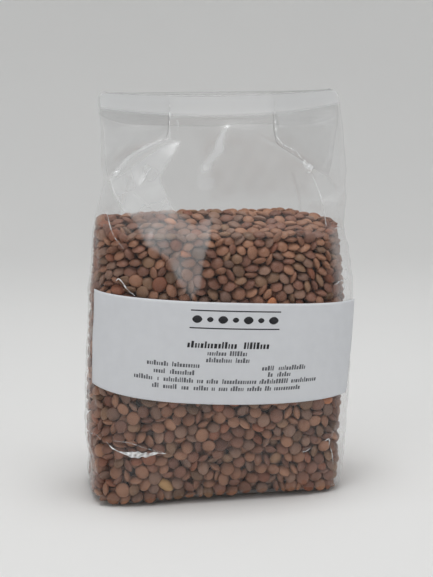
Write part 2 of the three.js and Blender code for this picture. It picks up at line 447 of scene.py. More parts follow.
    def on_front(self, z: Array, along: Array) -> tuple[Array, Array]:
        """Finds places on the film by height and distance round from the middle of the front.

        Args:
            z: Height of each place.
            along: Distance round the film, positive to the right.

        Returns:
            The places and the film's outward directions there.
        """
        front_steps, side_steps = 60, 40
        quarter = self.quarter(z, front_steps, side_steps, None)
        lengths = np.linalg.norm(np.diff(quarter, axis=1), axis=2)
        reach = np.concatenate([np.zeros((len(z), 1)), np.cumsum(lengths, axis=1)], axis=1)
        far = np.abs(along)
        i = np.clip((reach <= far[:, None]).sum(axis=1) - 1, 0, quarter.shape[1] - 2)
        rows = np.arange(len(z))
        share = ((far - reach[rows, i]) / lengths[rows, i])[:, None]
        place = quarter[rows, i] * (1 - share) + quarter[rows, i + 1] * share
        step = quarter[rows, i + 1] - quarter[rows, i]
        step /= np.linalg.norm(step, axis=1, keepdims=True)
        side = np.where(along < 0, -1.0, 1.0)
        x = place[:, 0] * side + self.value("lean", z)
        points = np.stack([x, place[:, 1], z], 1)
        normals = np.stack([-step[:, 1] * -side, -step[:, 0], np.zeros(len(z))], 1)
        return points, normals

    def wall(self, points: Array) -> tuple[Array, Array]:
        """Measures how deep points lie behind the rounded film.

        Args:
            points: Points, one per row.

        Returns:
            The depth of each point and the direction out to the film.
        """
        a, b, n, lean = (
            self.value(f, points[:, 2]) for f in ("half_width", "half_depth", "squareness", "lean")
        )
        x, y = (points[:, 0] - lean) / a, points[:, 1] / b
        level = np.maximum((np.abs(x) ** n + np.abs(y) ** n) ** (1 / n), 1e-3)
        scale = level ** (1 - n)
        slope = np.stack(
            [scale * np.abs(x) ** (n - 1) * np.sign(x) / a, scale * np.abs(y) ** (n - 1) * np.sign(y) / b], 1
        )
        steep = np.maximum(np.linalg.norm(slope, axis=1), 1e-6)
        out = np.concatenate([slope / steep[:, None], np.zeros((len(points), 1))], axis=1)
        return (1 - level) / steep, out

    def to_frame(self, points: Array) -> Array:
        """Turns points of the form, in millimetres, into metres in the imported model's frame."""
        return (points + np.array([self.shift[0], self.shift[1], 0.0])) * MM


def new_object(name: str, points: Array, faces: list, finish: "Finish") -> bpy.types.Object:
    """Makes a smooth mesh object.

    Args:
        name: Its name.
        points: Its points in metres, one per row.
        faces: Corner numbers of each face.
        finish: Its finish.

    Returns:
        The new object.
    """
    mesh = bpy.data.meshes.new(name)
    mesh.from_pydata(points.tolist(), [], faces)
    mesh.polygons.foreach_set("use_smooth", [True] * len(mesh.polygons))
    mesh.materials.append(finish.material())
    made = bpy.data.objects.new(name, mesh)
    bpy.context.scene.collection.objects.link(made)
    log.info("%s: %d faces", name, len(mesh.polygons))
    return made


def make_piece(
    name: str, node: str, slot: str, sheet: Sheet, form: BagForm, finish: "Finish", **attributes: Array
) -> None:
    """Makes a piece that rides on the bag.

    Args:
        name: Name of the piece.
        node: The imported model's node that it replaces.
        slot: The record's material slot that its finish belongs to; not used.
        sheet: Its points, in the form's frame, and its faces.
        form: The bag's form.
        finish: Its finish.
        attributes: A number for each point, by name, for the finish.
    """
    piece = new_object(name, form.to_frame(sheet[0]), sheet[1], finish)
    for key, values in attributes.items():
        layer = piece.data.attributes.new(key, "FLOAT", "POINT")
        layer.data.foreach_set("value", values.astype(np.float32))
    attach(piece, BODY)
    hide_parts(node)


def grid_faces(rows: int, columns: int, closed: bool, first: int = 0, flip: bool = False) -> list:
    """Lists the quads of a grid of points.

    Args:
        rows: Rows of points.
        columns: Points in a row.
        closed: Whether each row closes on itself.
        first: Number of the grid's first point.
        flip: Whether the quads face the other way.

    Returns:
        Corner numbers of each quad.
    """
    j, i = np.meshgrid(np.arange(rows - 1), np.arange(columns if closed else columns - 1), indexing="ij")
    right = (i + 1) % columns
    a, b = first + j * columns + i, first + j * columns + right
    quads = np.stack([a, b, b + columns, a + columns], -1).reshape(-1, 4)
    return (quads[:, ::-1] if flip else quads).tolist()


def capped_faces(rows: int, count: int) -> list:
    """Lists the faces of a tube of closed rings with both of its ends shut.

    Args:
        rows: How many rings it has.
        count: Points of a ring.

    Returns:
        Corner numbers of each face.
    """
    return grid_faces(rows, count, True) + [
        list(range(count))[::-1],
        [(rows - 1) * count + i for i in range(count)],
    ]


def slab(points: Array, normals: Array, near: float, far: float) -> Sheet:
    """Closes a thin sheet around a grid of points.

    Args:
        points: Grid of points by row and column.
        normals: Outward direction at each point.
        near: Offset of the sheet's inner face.
        far: Offset of its outer face.

    Returns:
        The sheet's points and faces.
    """
    rows, columns = points.shape[:2]
    count = rows * columns
    inner = (points + normals * near).reshape(-1, 3)
    outer = (points + normals * far).reshape(-1, 3)
    faces = grid_faces(rows, columns, False, count) + grid_faces(rows, columns, False, 0, flip=True)
    border = (
        [i for i in range(columns)]
        + [j * columns + columns - 1 for j in range(1, rows)]
        + [(rows - 1) * columns + i for i in range(columns - 2, -1, -1)]
        + [j * columns for j in range(rows - 2, 0, -1)]
    )
    for here, after in zip(border, border[1:] + border[:1]):
        faces.append([here, after, after + count, here + count])
    return np.concatenate([inner, outer]), faces


def join(sheets: list[Sheet]) -> Sheet:
    """Joins sheets into one.

    Args:
        sheets: Points and faces of each sheet.

    Returns:
        The points and faces of all of them.
    """
    faces, first = [], 0
    for points, corners in sheets:
        faces += [[first + c for c in face] for face in corners]
        first += len(points)
    return np.concatenate([points for points, _ in sheets]), faces


@dataclass(frozen=True)
class ClearFilm:
    """Oriented polypropylene film, cast and stretched.

    It gives hard narrow glints, nearly clear panels that grey what lies behind them a little, and real haze in
    creases and slack film, with painted highlights and reflections that a point attribute lays on it.

    Args:
        name: Name of the finish.
        tint: Colour that one layer gives what is seen through it.
        glaze: Colour of the light that the film sends back.
        haze: Share of light that one clean layer scatters.
        edge_gloss: Share of light that it sends back at grazing angles.
        edge_power: How suddenly that share rises towards them.
        roughness: Blur of the reflections.
        metallic: Share of the mirror-like glints in what it sends back.
        ripple: Length of its fine ripples, from the tension between the seeds.
    """

    name: str = "clear_polypropylene_film"
    tint: str = "fafafa"
    glaze: str = "fafbfc"
    haze: float = 0.02
    edge_gloss: float = 0.65
    edge_power: float = 4.0
    roughness: float = 0.14
    metallic: float = 0.3
    ripple: float = 6.0

    def material(self) -> bpy.types.Material:
        """Builds the film: clear where smooth, glazed at grazing angles, whiter where an attribute paints haze and
        highlights.
        """
        material, tree = new_material(self.name)
        clear = add_node(tree, "BsdfTransparent", {"Color": linear(self.tint)})
        place = add_node(tree, "NewGeometry")
        ripples = add_node(tree, "TexNoise", {"Scale": 1 / (self.ripple * MM), "Detail": 2.0}, {"Vector": place})
        bump = add_node(tree, "Bump", {"Strength": 0.25, "Distance": 0.3 * MM}, {"Height": ripples})
        body = {"Base Color": linear(self.glaze), "Metallic": self.metallic, "Roughness": self.roughness}
        glaze = add_node(tree, "BsdfPrincipled", {**body, "IOR": FILM_IOR}, {"Normal": bump})
        facing = add_node(tree, "LayerWeight", {"Blend": 0.5}, {"Normal": bump}).outputs["Facing"]
        grazing = add_node(tree, "Math", {"operation": "POWER", 1: self.edge_power}, {0: facing})
        shares = {"operation": "MULTIPLY_ADD", 1: self.edge_gloss, 2: self.haze}
        gloss = add_node(tree, "Math", shares, {0: grazing})
        # This point attribute whitens the film: real haze of slack film and creases, and painted highlights and
        # reflections.
        milk = add_node(tree, "Attribute", {"attribute_name": "milk"}).outputs["Fac"]
        total = add_node(tree, "Math", {"operation": "ADD", "use_clamp": True}, {0: gloss, 1: milk})
        mix = add_node(tree, "MixShader", {}, {0: total, 1: clear, 2: glaze})
        add_node(tree, "OutputMaterial", {}, {"Surface": mix})
        return material


@dataclass(frozen=True)
class GlintFilm:
    """Painted glints: white strips of polypropylene film along its sharp bends.

    They stand for the highlights that the folds catch, so each fold reads as a soft white line.

    Args:
        name: Name of the finish.
        colour: Colour of the painted glint.
    """

    name: str = "painted_glint_film"
    colour: str = "fbfcfd"

    def material(self) -> bpy.types.Material:
        """Builds the painted glint: bright where its strength is high, clear where it is low."""
        material, tree = new_material(self.name)
        clear = add_node(tree, "BsdfTransparent", {"Color": linear("ffffff")})
        body = {"Base Color": linear(self.colour), "Metallic": 0.3, "Roughness": 0.3, "IOR": FILM_IOR}
        white = add_node(tree, "BsdfPrincipled", body)
        strength = add_node(tree, "Attribute", {"attribute_name": "strength"}).outputs["Fac"]
        mix = add_node(tree, "MixShader", {}, {0: strength, 1: clear, 2: white})
        add_node(tree, "OutputMaterial", {}, {"Surface": mix})
        return material


@dataclass(frozen=True)
class DullFinish:
    """A dull finish of two close colours in soft patches: toner, deep shade or a painted floor.

    Args:
        name: Name of the finish.
        dark: Colour of its one kind of patch.
        light: Colour of the other.
        patch: Size of the patches.
        roughness: Blur of its sheen.
        specular: Strength of its sheen.
        detail: Steps of finer patches in the patches.
        crispness: How strong the finer patches are.
        tooth: Strength, height and size of its fine relief, the last two.
        toned: Whether the tone of each seed moves the colour.
    """

    name: str
    dark: str
    light: str
    patch: float
    roughness: float = 0.8
    specular: float = 0.2
    detail: float = 2.0
    crispness: float = 0.5
    tooth: tuple[float, float, float] | None = None
    toned: bool = False

    def material(self) -> bpy.types.Material:
        """Builds the finish: two close colours in soft patches, with relief where it has a tooth."""
        material, tree = new_material(self.name)
        place = add_node(tree, "NewGeometry")
        grain = {"Detail": self.detail, "Roughness": self.crispness}
        patches = add_node(tree, "TexNoise", {"Scale": 1 / (self.patch * MM), **grain}, {"Vector": place})
        share = patches
        if self.toned:
            tone = add_node(tree, "Attribute", {"attribute_name": "tone"}).outputs["Fac"]
            mottled = add_node(tree, "Math", {"operation": "MULTIPLY_ADD", 1: 0.5}, {0: patches, 2: tone})
            share = add_node(tree, "Math", {"operation": "SUBTRACT", 1: 0.25, "use_clamp": True}, {0: mottled})
        pair = {"data_type": "RGBA", 6: linear(self.dark), 7: linear(self.light)}
        links = {"Base Color": add_node(tree, "Mix", pair, {0: share}).outputs[2]}
        if self.tooth:
            strength, height, size = self.tooth
            relief = patches
            if size != self.patch:
                relief = add_node(tree, "TexNoise", {"Scale": 1 / (size * MM), **grain}, {"Vector": place})
            bump = {"Strength": strength, "Distance": height * MM}
            links["Normal"] = add_node(tree, "Bump", bump, {"Height": relief}).outputs["Normal"]
        sheen = {"Roughness": self.roughness, "Specular IOR Level": self.specular}
        dull = add_node(tree, "BsdfPrincipled", sheen, links)
        add_node(tree, "OutputMaterial", {}, {"Surface": dull})
        return material


@dataclass(frozen=True)
class SeedCoat(DullFinish):
    """The skin of a dried lentil, or the split seed under it.

    A dry coat is matt with a soft sheen on its crown and mottled finely, about 1.5 mm across, and no two
    seeds have one colour.
    """

    patch: float = 1.5
    roughness: float = 0.5
    specular: float = 0.35
    detail: float = 3.0
    crispness: float = 0.6
    tooth: tuple[float, float, float] | None = (0.2, 0.1, 1.5)
    toned: bool = True


@dataclass(frozen=True)
class LabelPaper(DullFinish):
    """Uncoated white label paper, calendered.

    It is flat and slightly cool, with a faint cloudiness of its fibres about 4 mm across and a tooth of
    0.3 mm, coarser than real fibre so that it shows.
    """

    name: str = "uncoated_label_paper"
    dark: str = "d8dade"
    light: str = "e0e2e6"
    patch: float = 4.0
    roughness: float = 0.7
    specular: float = 0.3
    detail: float = 3.0
    tooth: tuple[float, float, float] | None = (0.15, 0.05, 0.3)


Finish = ClearFilm | GlintFilm | DullFinish


@dataclass(frozen=True)
class Crease:
    """A bent line in the film.

    Args:
        height: How far its ridge stands out.
        width: Half width of the ridge.
        milk: Share of light that its bent film scatters: partly its real haze, partly a painted highlight along
            it.
        path: Its corners as x and z on the panel.
    """

    height: float
    width: float
    milk: float
    path: tuple[tuple[float, float], ...]


@dataclass(frozen=True)
class HazeAndSheenPatch:
    """An area of a panel painted lighter: mostly a painted reflection on the film, in places haze where it stands
    off the seeds.

    Args:
        softness: Width of the fade at its border.
        milk: Share of light that it scatters, painted on the film.
        corners: Its corners as x and z on the panel.
    """

    softness: float
    milk: float
    corners: tuple[tuple[float, float], ...]


@dataclass(frozen=True)
class Glint:
    """A thin painted glint, a line or wedge of highlight where the film is bent sharply.

    Args:
        strength: Share of light that the painted glint scatters.
        path: Its corners as x and z on the front panel, each with its width there.
    """

    strength: float
    path: tuple[tuple[float, float, float], ...]


@dataclass
class FilmBag:
    """The film of the bag: block bottom, filled body, neck with its side folds and flattened top.

    Args:
        form: The bag's form.
        front_steps: Steps across half of the front panel.
        side_steps: Steps across half of a side.
        filled_step: Height of a row of faces in the filled body, in millimetres.
        neck_step: Height of a row of faces in the neck.
        cling: Height of the relief where the film clings to the seeds.
        sag: Height of the broad waves of the slack neck.
        fill_top: Height above which no seeds touch the film.
        neck: Heights where the slack of the neck starts, is full, starts to end and is gone.
        draw_start: Share of the half width from which on the side edges are drawn in.
        left_milk: Share of light that the left side scatters where it is tucked in.
        right_milk: The same on the right.
        press_milk: Share of light that the pressed top scatters: partly its pressed layers, partly a painted
            highlight.
        front_creases: Creases of the front panel.
        back_creases: Creases of the back panel.
        front_patches: Areas of the front panel painted lighter, mostly painted reflections.
        back_patches: Areas of the back panel painted lighter.
        glints: Painted glints along sharp folds of the front panel.
    """

    form: BagForm
    front_steps: int = 76
    side_steps: int = 26
    filled_step: float = 0.98
    neck_step: float = 0.66
    cling: float = 0.16
    sag: float = 0.7
    fill_top: float = 118
    neck: tuple[float, float, float, float] = (116, 130, 146, 156)
    draw_start: float = 0.6
    left_milk: float = 0.17
    right_milk: float = 0.04
    press_milk: float = 0.58
    front_creases: tuple[Crease, ...] = (
        Crease(0.04, 1.6, 0.02, ((-17, 145.2), (-20.1, 139.7), (-25.5, 131.9), (-25.7, 129.3), (-24.1, 126),
            (-22.5, 119))),
        Crease(0.12, 1.0, 0.1, ((-20.7, 146.5), (-29.3, 143.5), (-36.4, 139.5), (-42.1, 134.6), (-47.7, 128.5))),
        Crease(0.1, 0.7, 0.1, ((-29.4, 135), (-31.2, 132.6), (-33.9, 128.2))),
        Crease(0.3, 0.7, 0.08, ((-44.7, 126.4), (-42.4, 122.7), (-40, 118))),
        Crease(0.1, 0.8, 0.06, ((-37.7, 126.7), (-33.6, 122.8), (-28.9, 118.5))),
        Crease(0.2, 0.6, 0.1, ((-48, 117.2), (-46.4, 116.5), (-45.9, 113.3), (-44.6, 109.1), (-41, 104))),
        Crease(0.14, 0.7, 0.1, ((23.2, 146.6), (25.4, 143.5), (30.1, 141), (32.9, 137), (33.3, 135))),
        Crease(0.2, 0.7, 0.1, ((36.1, 130.9), (37.2, 128.2), (39.2, 121.3), (40.8, 111))),
        Crease(0.3, 1.2, 0.02, ((-49.7, 27.6), (-43.7, 24.6), (-39.3, 23.6), (-34.4, 23.6), (-26.6, 23.6))),
        Crease(0.3, 0.6, 0.1, ((29, 20.5), (34, 21))),
        Crease(0.3, 0.8, 0.15, ((41.8, 24), (45, 30), (50, 33))),
    )
    back_creases: tuple[Crease, ...] = (
        Crease(0.5, 1.1, 0.12, ((20, 147), (33, 140.5), (41, 135.5), (47, 128))),
        Crease(0.5, 1.0, 0.12, ((-21, 147), (-31, 140), (-39, 134.5), (-46, 127))),
        Crease(0.5, 1.6, 0.06, ((6, 150), (-2, 141), (-1, 128))),
        Crease(0.4, 0.8, 0.14, ((-33, 132), (-37, 121), (-39, 112))),
        Crease(0.4, 0.8, 0.14, ((36, 131), (40, 119), (41, 110))),
        Crease(0.35, 0.9, 0.3, ((-44, 24), (-36, 21.5), (-27, 22))),
    )
    front_patches: tuple[HazeAndSheenPatch, ...] = (
        HazeAndSheenPatch(1.7, 0.2, ((-37.8, 116.7), (-20.5, 118.6), (-14.2, 112.8), (-6.5, 115.9), (-7.4, 112),
            (-8.5, 106.1), (-11.3, 99.7), (-12.7, 89.9), (-16.2, 85.2), (-20.7, 91.3),
            (-24.9, 100.6), (-32.5, 105.8))),
        HazeAndSheenPatch(1.0, 0.22, ((-20.7, 146.5), (-30, 144.1), (-38.1, 139.9), (-43.5, 135), (-47.8, 129),
            (-47.6, 127.8), (-43, 132), (-37.3, 136.6), (-30.2, 140.8), (-23.9, 143.1),
            (-16.9, 144.3), (-17, 145.3))),
        HazeAndSheenPatch(1.6, 0.36, ((-16.9, 145), (-20.1, 139.7), (-25.5, 131.9), (-25.7, 129.3), (-24.1, 126),
            (-20.6, 118.2), (-37.8, 116.9), (-41, 118.8), (-44.6, 125.4), (-47.7, 128),
            (-41.6, 133), (-33.9, 137.9), (-25.3, 142.8))),
        HazeAndSheenPatch(1.5, 0.16, ((-51, 152), (-20, 151), (-20.7, 146.5), (-36.4, 139.5), (-47.7, 128.5), (-51, 128))),
        HazeAndSheenPatch(1.8, 0.44, ((3.8, 151.4), (0.8, 149.6), (-2.4, 144.9), (-3.1, 142.2), (-8.8, 136.3),
            (-8.4, 133.6), (-5.6, 134.3), (-3.8, 137.5), (0.8, 141.5), (0.9, 144.8),
            (2, 148.2))),
        HazeAndSheenPatch(3.0, 0.24, ((-8.8, 136.3), (-5.6, 134.3), (-6.5, 132.3), (-4.6, 130.6), (-6.4, 126.4),
            (-10.2, 126.5), (-11.2, 129.8), (-9.7, 134.3))),
        HazeAndSheenPatch(3, 0.14, ((39.6, 121.3), (43.4, 116.3), (54.5, 108.2), (51.1, 126.3), (46.9, 125.1))),
        HazeAndSheenPatch(2, 0.1, ((45, 152), (49, 152), (52, 124), (47, 124))),
        HazeAndSheenPatch(1.5, 0.16, ((47.2, 143.2), (42.3, 134.8), (39.8, 130.8), (41.7, 130.7), (44.6, 135.4),
            (47.1, 140.2))),
        HazeAndSheenPatch(6, 0.26, ((46.5, -6), (66, -6), (66, 108), (43.6, 110), (44.5, 80), (46, 45))),
        HazeAndSheenPatch(8, 0.03, ((-48, -6), (46, -6), (46, 48), (-48, 48))),
        HazeAndSheenPatch(3, 0.05, ((-48, 109), (46, 107), (46, 117), (-48, 118))),
        HazeAndSheenPatch(1.5, 0.2, ((25, 150.5), (50, 151), (50, 158), (25, 156.5))),
    )
    back_patches: tuple[HazeAndSheenPatch, ...] = (
        HazeAndSheenPatch(8, 0.14, ((-6, 148), (34, 146), (46, 132), (44, 121), (2, 120))),
    )
    glints: tuple[Glint, ...] = (
        Glint(0.6, ((-19.4, 164.4, 0.1), (-19.7, 157.8, 0.25), (-19.6, 155.4, 0.9), (-20.1, 152.8, 0.3),
            (-20.5, 146.4, 0.25))),
        Glint(0.5, ((-17.1, 153.6, 0.2), (-16.6, 152, 0.7), (-17.2, 149.5, 0.15))),
        Glint(0.3, ((-20.9, 146.4, 0.2), (-25.1, 145.3, 0.3), (-36.4, 139.5, 0.25), (-42.1, 134.4, 0.5),
            (-47.7, 128.5, 0.2))),
        Glint(0.85, ((-44.2, 132.7, 0.4), (-42.6, 133.1, 1.9), (-40.9, 134.9, 0.5))),
        Glint(0.6, ((-29.4, 135, 0.25), (-31.2, 132.6, 0.6), (-33.9, 128.2, 0.15))),
        Glint(0.3, ((-44.7, 126.4, 0.1), (-42.4, 122.7, 0.3), (-40, 118, 0.15))),
        Glint(0.25, ((-37.7, 126.7, 0.1), (-33.6, 122.8, 0.25), (-28.9, 118.5, 0.1))),
        Glint(0.55, ((-48, 117.2, 0.2), (-47.1, 117.9, 0.45), (-46.4, 116.5, 0.4), (-45.9, 113.3, 0.4),
            (-44.6, 109.1, 0.25), (-41, 104, 0.1))),
        Glint(0.6, ((-44.5, 91.7, 0.2), (-43.6, 92.7, 0.4), (-42.3, 91.6, 0.5), (-40.6, 88.9, 0.6),
            (-37.7, 86.4, 0.2))),
        Glint(0.5, ((23.5, 163.8, 0.08), (23.6, 156.9, 0.2), (23.4, 151.8, 0.5), (23.2, 146.6, 0.15))),
        Glint(0.55, ((23.2, 146.6, 0.2), (25.4, 143.5, 0.45), (30.1, 141, 0.25), (32.9, 137, 0.6),
            (33.6, 133.4, 0.5))),
        Glint(0.55, ((30.6, 139.9, 0.1), (33.4, 137, 1.2), (35.4, 134.6, 2.6), (37.4, 134.5, 0.3))),
        Glint(0.6, ((33.2, 132.4, 0.5), (34.8, 132.3, 0.3), (37.2, 134.6, 0.2))),
        Glint(0.45, ((36.1, 130.9, 0.1), (37.2, 128.2, 0.2), (39.2, 121.3, 0.5), (40.8, 111, 0.25))),
        Glint(0.4, ((43.9, 109.4, 0.2), (46.8, 110.2, 0.5), (50.7, 108.5, 0.2))),
        Glint(0.4, ((42.8, 87.6, 0.2), (46.8, 89.2, 0.8), (48.4, 86.4, 0.4), (46.4, 84.4, 0.2))),
        Glint(0.72, ((-49.7, 27.6, 0.1), (-47.1, 25, 0.7), (-43.7, 23.7, 1.5), (-39.3, 22.9, 2.3),
            (-34.4, 22.8, 2), (-30.5, 23.4, 0.9), (-26.6, 23, 0.2))),
        Glint(0.35, ((-47.7, 28.4, 0.1), (-41.3, 27.8, 0.25), (-35.1, 25.7, 0.2), (-27, 23.3, 0.1))),
        Glint(0.3, ((-55.7, 28.2, 0.5), (-53.8, 29.5, 0.3), (-51.4, 27.9, 0.1))),
        Glint(0.5, ((29.4, 19.9, 0.1), (31.2, 20.3, 0.7), (32.5, 21.2, 0.1))),
        Glint(0.5, ((38.6, 23.2, 0.1), (40.8, 24.2, 0.6), (41.5, 23, 0.4), (41.2, 21, 0.1))),
        Glint(0.45, ((42.1, 20.2, 0.2), (43.1, 16.7, 0.45), (43.7, 12.7, 0.1))),
    )

    def heights(self) -> Array:
        """Gives the levels of the mesh, close together in the neck."""
        form = self.form
        foot = np.array([0.0, 0.5, 1.2, 2.5])
        filled = np.arange(foot[-1] + self.filled_step, form.neck_start, self.filled_step)
        rows = int((form.top - filled[-1]) / self.neck_step)
        neck = np.linspace(filled[-1], form.top, rows + 1)[1:]
        return np.concatenate([foot, filled, neck])

    def normals(self, grid: Array) -> Array:
        """Works out the outward direction at each point of the rings.

        Args:
            grid: Points by height and place.

        Returns:
            Unit directions of the same shape.
        """
        round_step = np.roll(grid, -1, axis=1) - np.roll(grid, 1, axis=1)
        up_step = np.gradient(grid, axis=0)
        out = np.cross(round_step, up_step)
        return out / np.maximum(np.linalg.norm(out, axis=2, keepdims=True), 1e-9)

    def panel_masks(self, rows: int, count: int) -> tuple[Array, Array]:
        """Tells which points belong to the front and to the back panel.

        Args:
            rows: How many rings there are.
            count: Points of a ring.

        Returns:
            Two masks over the points by height and place.
        """
        place = np.arange(count)
        middle_back = 2 * (self.front_steps + self.side_steps)
        front = (place <= self.front_steps) | (place >= count - self.front_steps)
        back = np.abs(place - middle_back) <= self.front_steps
        return np.broadcast_to(front, (rows, count)), np.broadcast_to(back, (rows, count))

    def fold(self, grid: Array, mask: Array, creases: tuple[Crease, ...], rise: Array, milk: Array) -> None:
        """Adds a panel's creases to the relief and, as haze and painted highlight, to the film's haze and sheen.

        Args:
            grid: Points by height and place.
            mask: Which of them are on the panel.
            creases: The panel's creases.
            rise: Relief of each point.
            milk: Share of light that the film scatters at each point, painted sheen included.
        """
        panel = grid[mask][:, [0, 2]]
        for crease in creases:
            far, along = distance_to_path(panel, np.array(crease.path))
            taper = np.sqrt(np.clip(np.minimum(along, 1 - along) * 6, 0.05, 1))
            rise[mask] += crease.height * (np.exp(-((far / crease.width) ** 2)) * taper)
            # Painted highlight along the crease, partly its real haze.
            milk[mask] += crease.milk * np.exp(-((far / (0.6 * crease.width)) ** 2)) * taper

    def paint_sheen_patches(self, grid: Array, mask: Array, patches: tuple[HazeAndSheenPatch, ...], weight: Array, milk: Array) -> None:
        """Adds a panel's patches of painted reflection and haze to the film's haze and sheen.

        Args:
            grid: Points by height and place.
            mask: Which of them are on the panel.
            patches: The panel's patches.
            weight: How much of the patches each point gets.
            milk: Share of light that the film scatters at each point, painted sheen included.
        """
        points = grid[mask]
        uneven = 1 + 0.22 * waves(points, 11, 16, 13)
        for patch in patches:
            inside = inside_polygon(points[:, [0, 2]], np.array(patch.corners, float), patch.softness)
            milk[mask] += patch.milk * inside * uneven * weight[mask]

    def shape_edges(self, grid: Array, z: Array, share: Array) -> None:
        """Lifts the foot, draws the side edges in, rounds the top corners and lets the top edge sag.

        Args:
            grid: Points by height and place, which are moved.
            z: The height of each ring.
            share: How near each point is to the side edge, 0 in the middle and 1 at the edge.
        """
        form = self.form
        height = np.broadcast_to(z[:, None], share.shape)
        grid[:, :, 2] += form.foot_lift(grid)
        across = grid[:, :, 0] - form.value("lean", z)[:, None]
        drawn = np.where(across < 0, form.left_draw.at(z)[:, None], form.right_draw.at(z)[:, None])
        grid[:, :, 0] -= np.sign(across) * drawn * smoothstep(share, self.draw_start, 1)
        grid[:, :, 0] -= across * (form.corner_cut(across, height) / form.value("half_width", z)[:, None])
        grid[:, :, 2] += form.top_rise(grid[:, :, 0], height)

    def build(self) -> None:
        """Builds the film as one closed shell in place of the plain solid."""
        form = self.form
        z = self.heights()
        grid = form.outlines(z, self.front_steps, self.side_steps, tucked=True)
        rows, count = grid.shape[:2]
        x, y = grid[:, :, 0].copy(), grid[:, :, 1].copy()
        height = np.broadcast_to(z[:, None], (rows, count))
        front, back = self.panel_masks(rows, count)
        out = self.normals(grid)
        # The film clings to the seeds, hangs slack in the neck and is pressed flat at the top.
        points = grid.reshape(-1, 3)
        seeded = (1 - smoothstep(height, self.fill_top - 6, self.fill_top)) * smoothstep(height, 1, 5)
        slack = smoothstep(height, *self.neck[:2]) * (1 - smoothstep(height, *self.neck[2:]))
        rise = seeded * self.cling * waves(points, 6.5, 28, 11).reshape(rows, count)
        share = np.abs(x - form.value("lean", z)[:, None]) / form.value("half_width", z)[:, None]
        loose = slack * (front | back) * (1 - smoothstep(share, 0.72, 0.98))
        rise += loose * self.sag * waves(points, 34, 14, 12).reshape(rows, count)
        tucked = ~(front | back) & (height > 100)
        side_milk = np.where(x < 0, self.left_milk, self.right_milk) * smoothstep(height, 130, 142)
        milk = 0.02 * slack + np.where(tucked, side_milk, 0)
        self.fold(grid, front, self.front_creases, rise, milk)
        self.fold(grid, back, self.back_creases, rise, milk)
        around = front | ((height < self.fill_top) & ~back)
        forward = np.maximum(smoothstep(-y, 7, 20), smoothstep(height, 106, 114))
        # Painted reflections on the front and back panels, and haze where the film stands off the seeds.
        self.paint_sheen_patches(grid, around, self.front_patches, forward, milk)
        self.paint_sheen_patches(grid, back, self.back_patches, np.ones_like(milk), milk)
        # Painted highlight: the pressed top scatters more light than the layers below its curved lower border,
        # partly for its layers.
        softness = 0.6 + 1.2 * np.exp(-((x / 22) ** 2))
        pressed = smoothstep(form.above_press(x, height), -softness, 0.6)
        milk += (self.press_milk * (front | back) + 0.3 * tucked) * pressed
        # Painted: the topmost rows lose some gloss, so that the fold shows no dark line.
        milk = np.where(height > form.top - 0.3, -0.1, milk)
        grid = grid + out * rise[:, :, None]
        self.shape_edges(grid, z, share)
        shell = grid.reshape(-1, 3), capped_faces(rows, count)
        make_piece("film_bag", "bag", "clear_film", shell, form, ClearFilm(), milk=milk.reshape(-1))
        forward = front | ((height < self.fill_top) & (grid[:, :, 1] < -2))
        self.build_glints(grid[forward], out[forward])

    def build_glints(self, points: Array, normals: Array) -> None:
        """Builds the painted glints as narrow strips that lie on the front panel.

        Args:
            points: Points of the finished front panel.
            normals: The film's outward directions there.
        """
        sheets, strengths = [], []
        for glint in self.glints:
            path = np.array(glint.path)
            lengths = np.concatenate([[0], np.cumsum(np.linalg.norm(np.diff(path[:, :2], axis=0), axis=1))])
            along = np.linspace(0, lengths[-1], max(6, int(lengths[-1] / 0.5)))
            x, z, width = (monotone(lengths, path[:, k], along) for k in range(3))
            heading = np.stack([np.gradient(x), np.gradient(z)], 1)
            heading /= np.linalg.norm(heading, axis=1, keepdims=True)
            place = np.stack([x, z, x * 0], 1)
            width = width * np.clip(0.8 + 0.45 * waves(place, 1.9, 9, 6), 0.3, 1.4)
            across = np.linspace(-0.5, 0.5, 5)
            flat_x = (x[:, None] - heading[:, 1:2] * across * width[:, None]).reshape(-1)
            flat_z = (z[:, None] + heading[:, 0:1] * across * width[:, None]).reshape(-1)
            far = (points[None, :, 0] - flat_x[:, None]) ** 2 + (points[None, :, 2] - flat_z[:, None]) ** 2
            near = np.argpartition(far, 4, axis=1)[:, :4]
            share = 1 / (np.take_along_axis(far, near, 1) + 0.01)
            share /= share.sum(axis=1, keepdims=True)
            depth = (points[near, 1] * share).sum(axis=1)
            direction = (normals[near] * share[:, :, None]).sum(axis=1)
            grid = np.stack([flat_x, depth, flat_z], 1).reshape(len(along), 5, 3)
            direction = direction.reshape(len(along), 5, 3)
            sheets.append(slab(grid, direction, 0.12, 0.18))
            uneven = 0.8 + 0.45 * waves(sheets[-1][0], 1.5, 12, 5)
            strengths.append(np.clip(glint.strength * uneven, 0.06, 1))
        strength = np.concatenate(strengths)
        make_piece("film_glints", "bag", "clear_film", join(sheets), self.form, GlintFilm(), strength=strength)


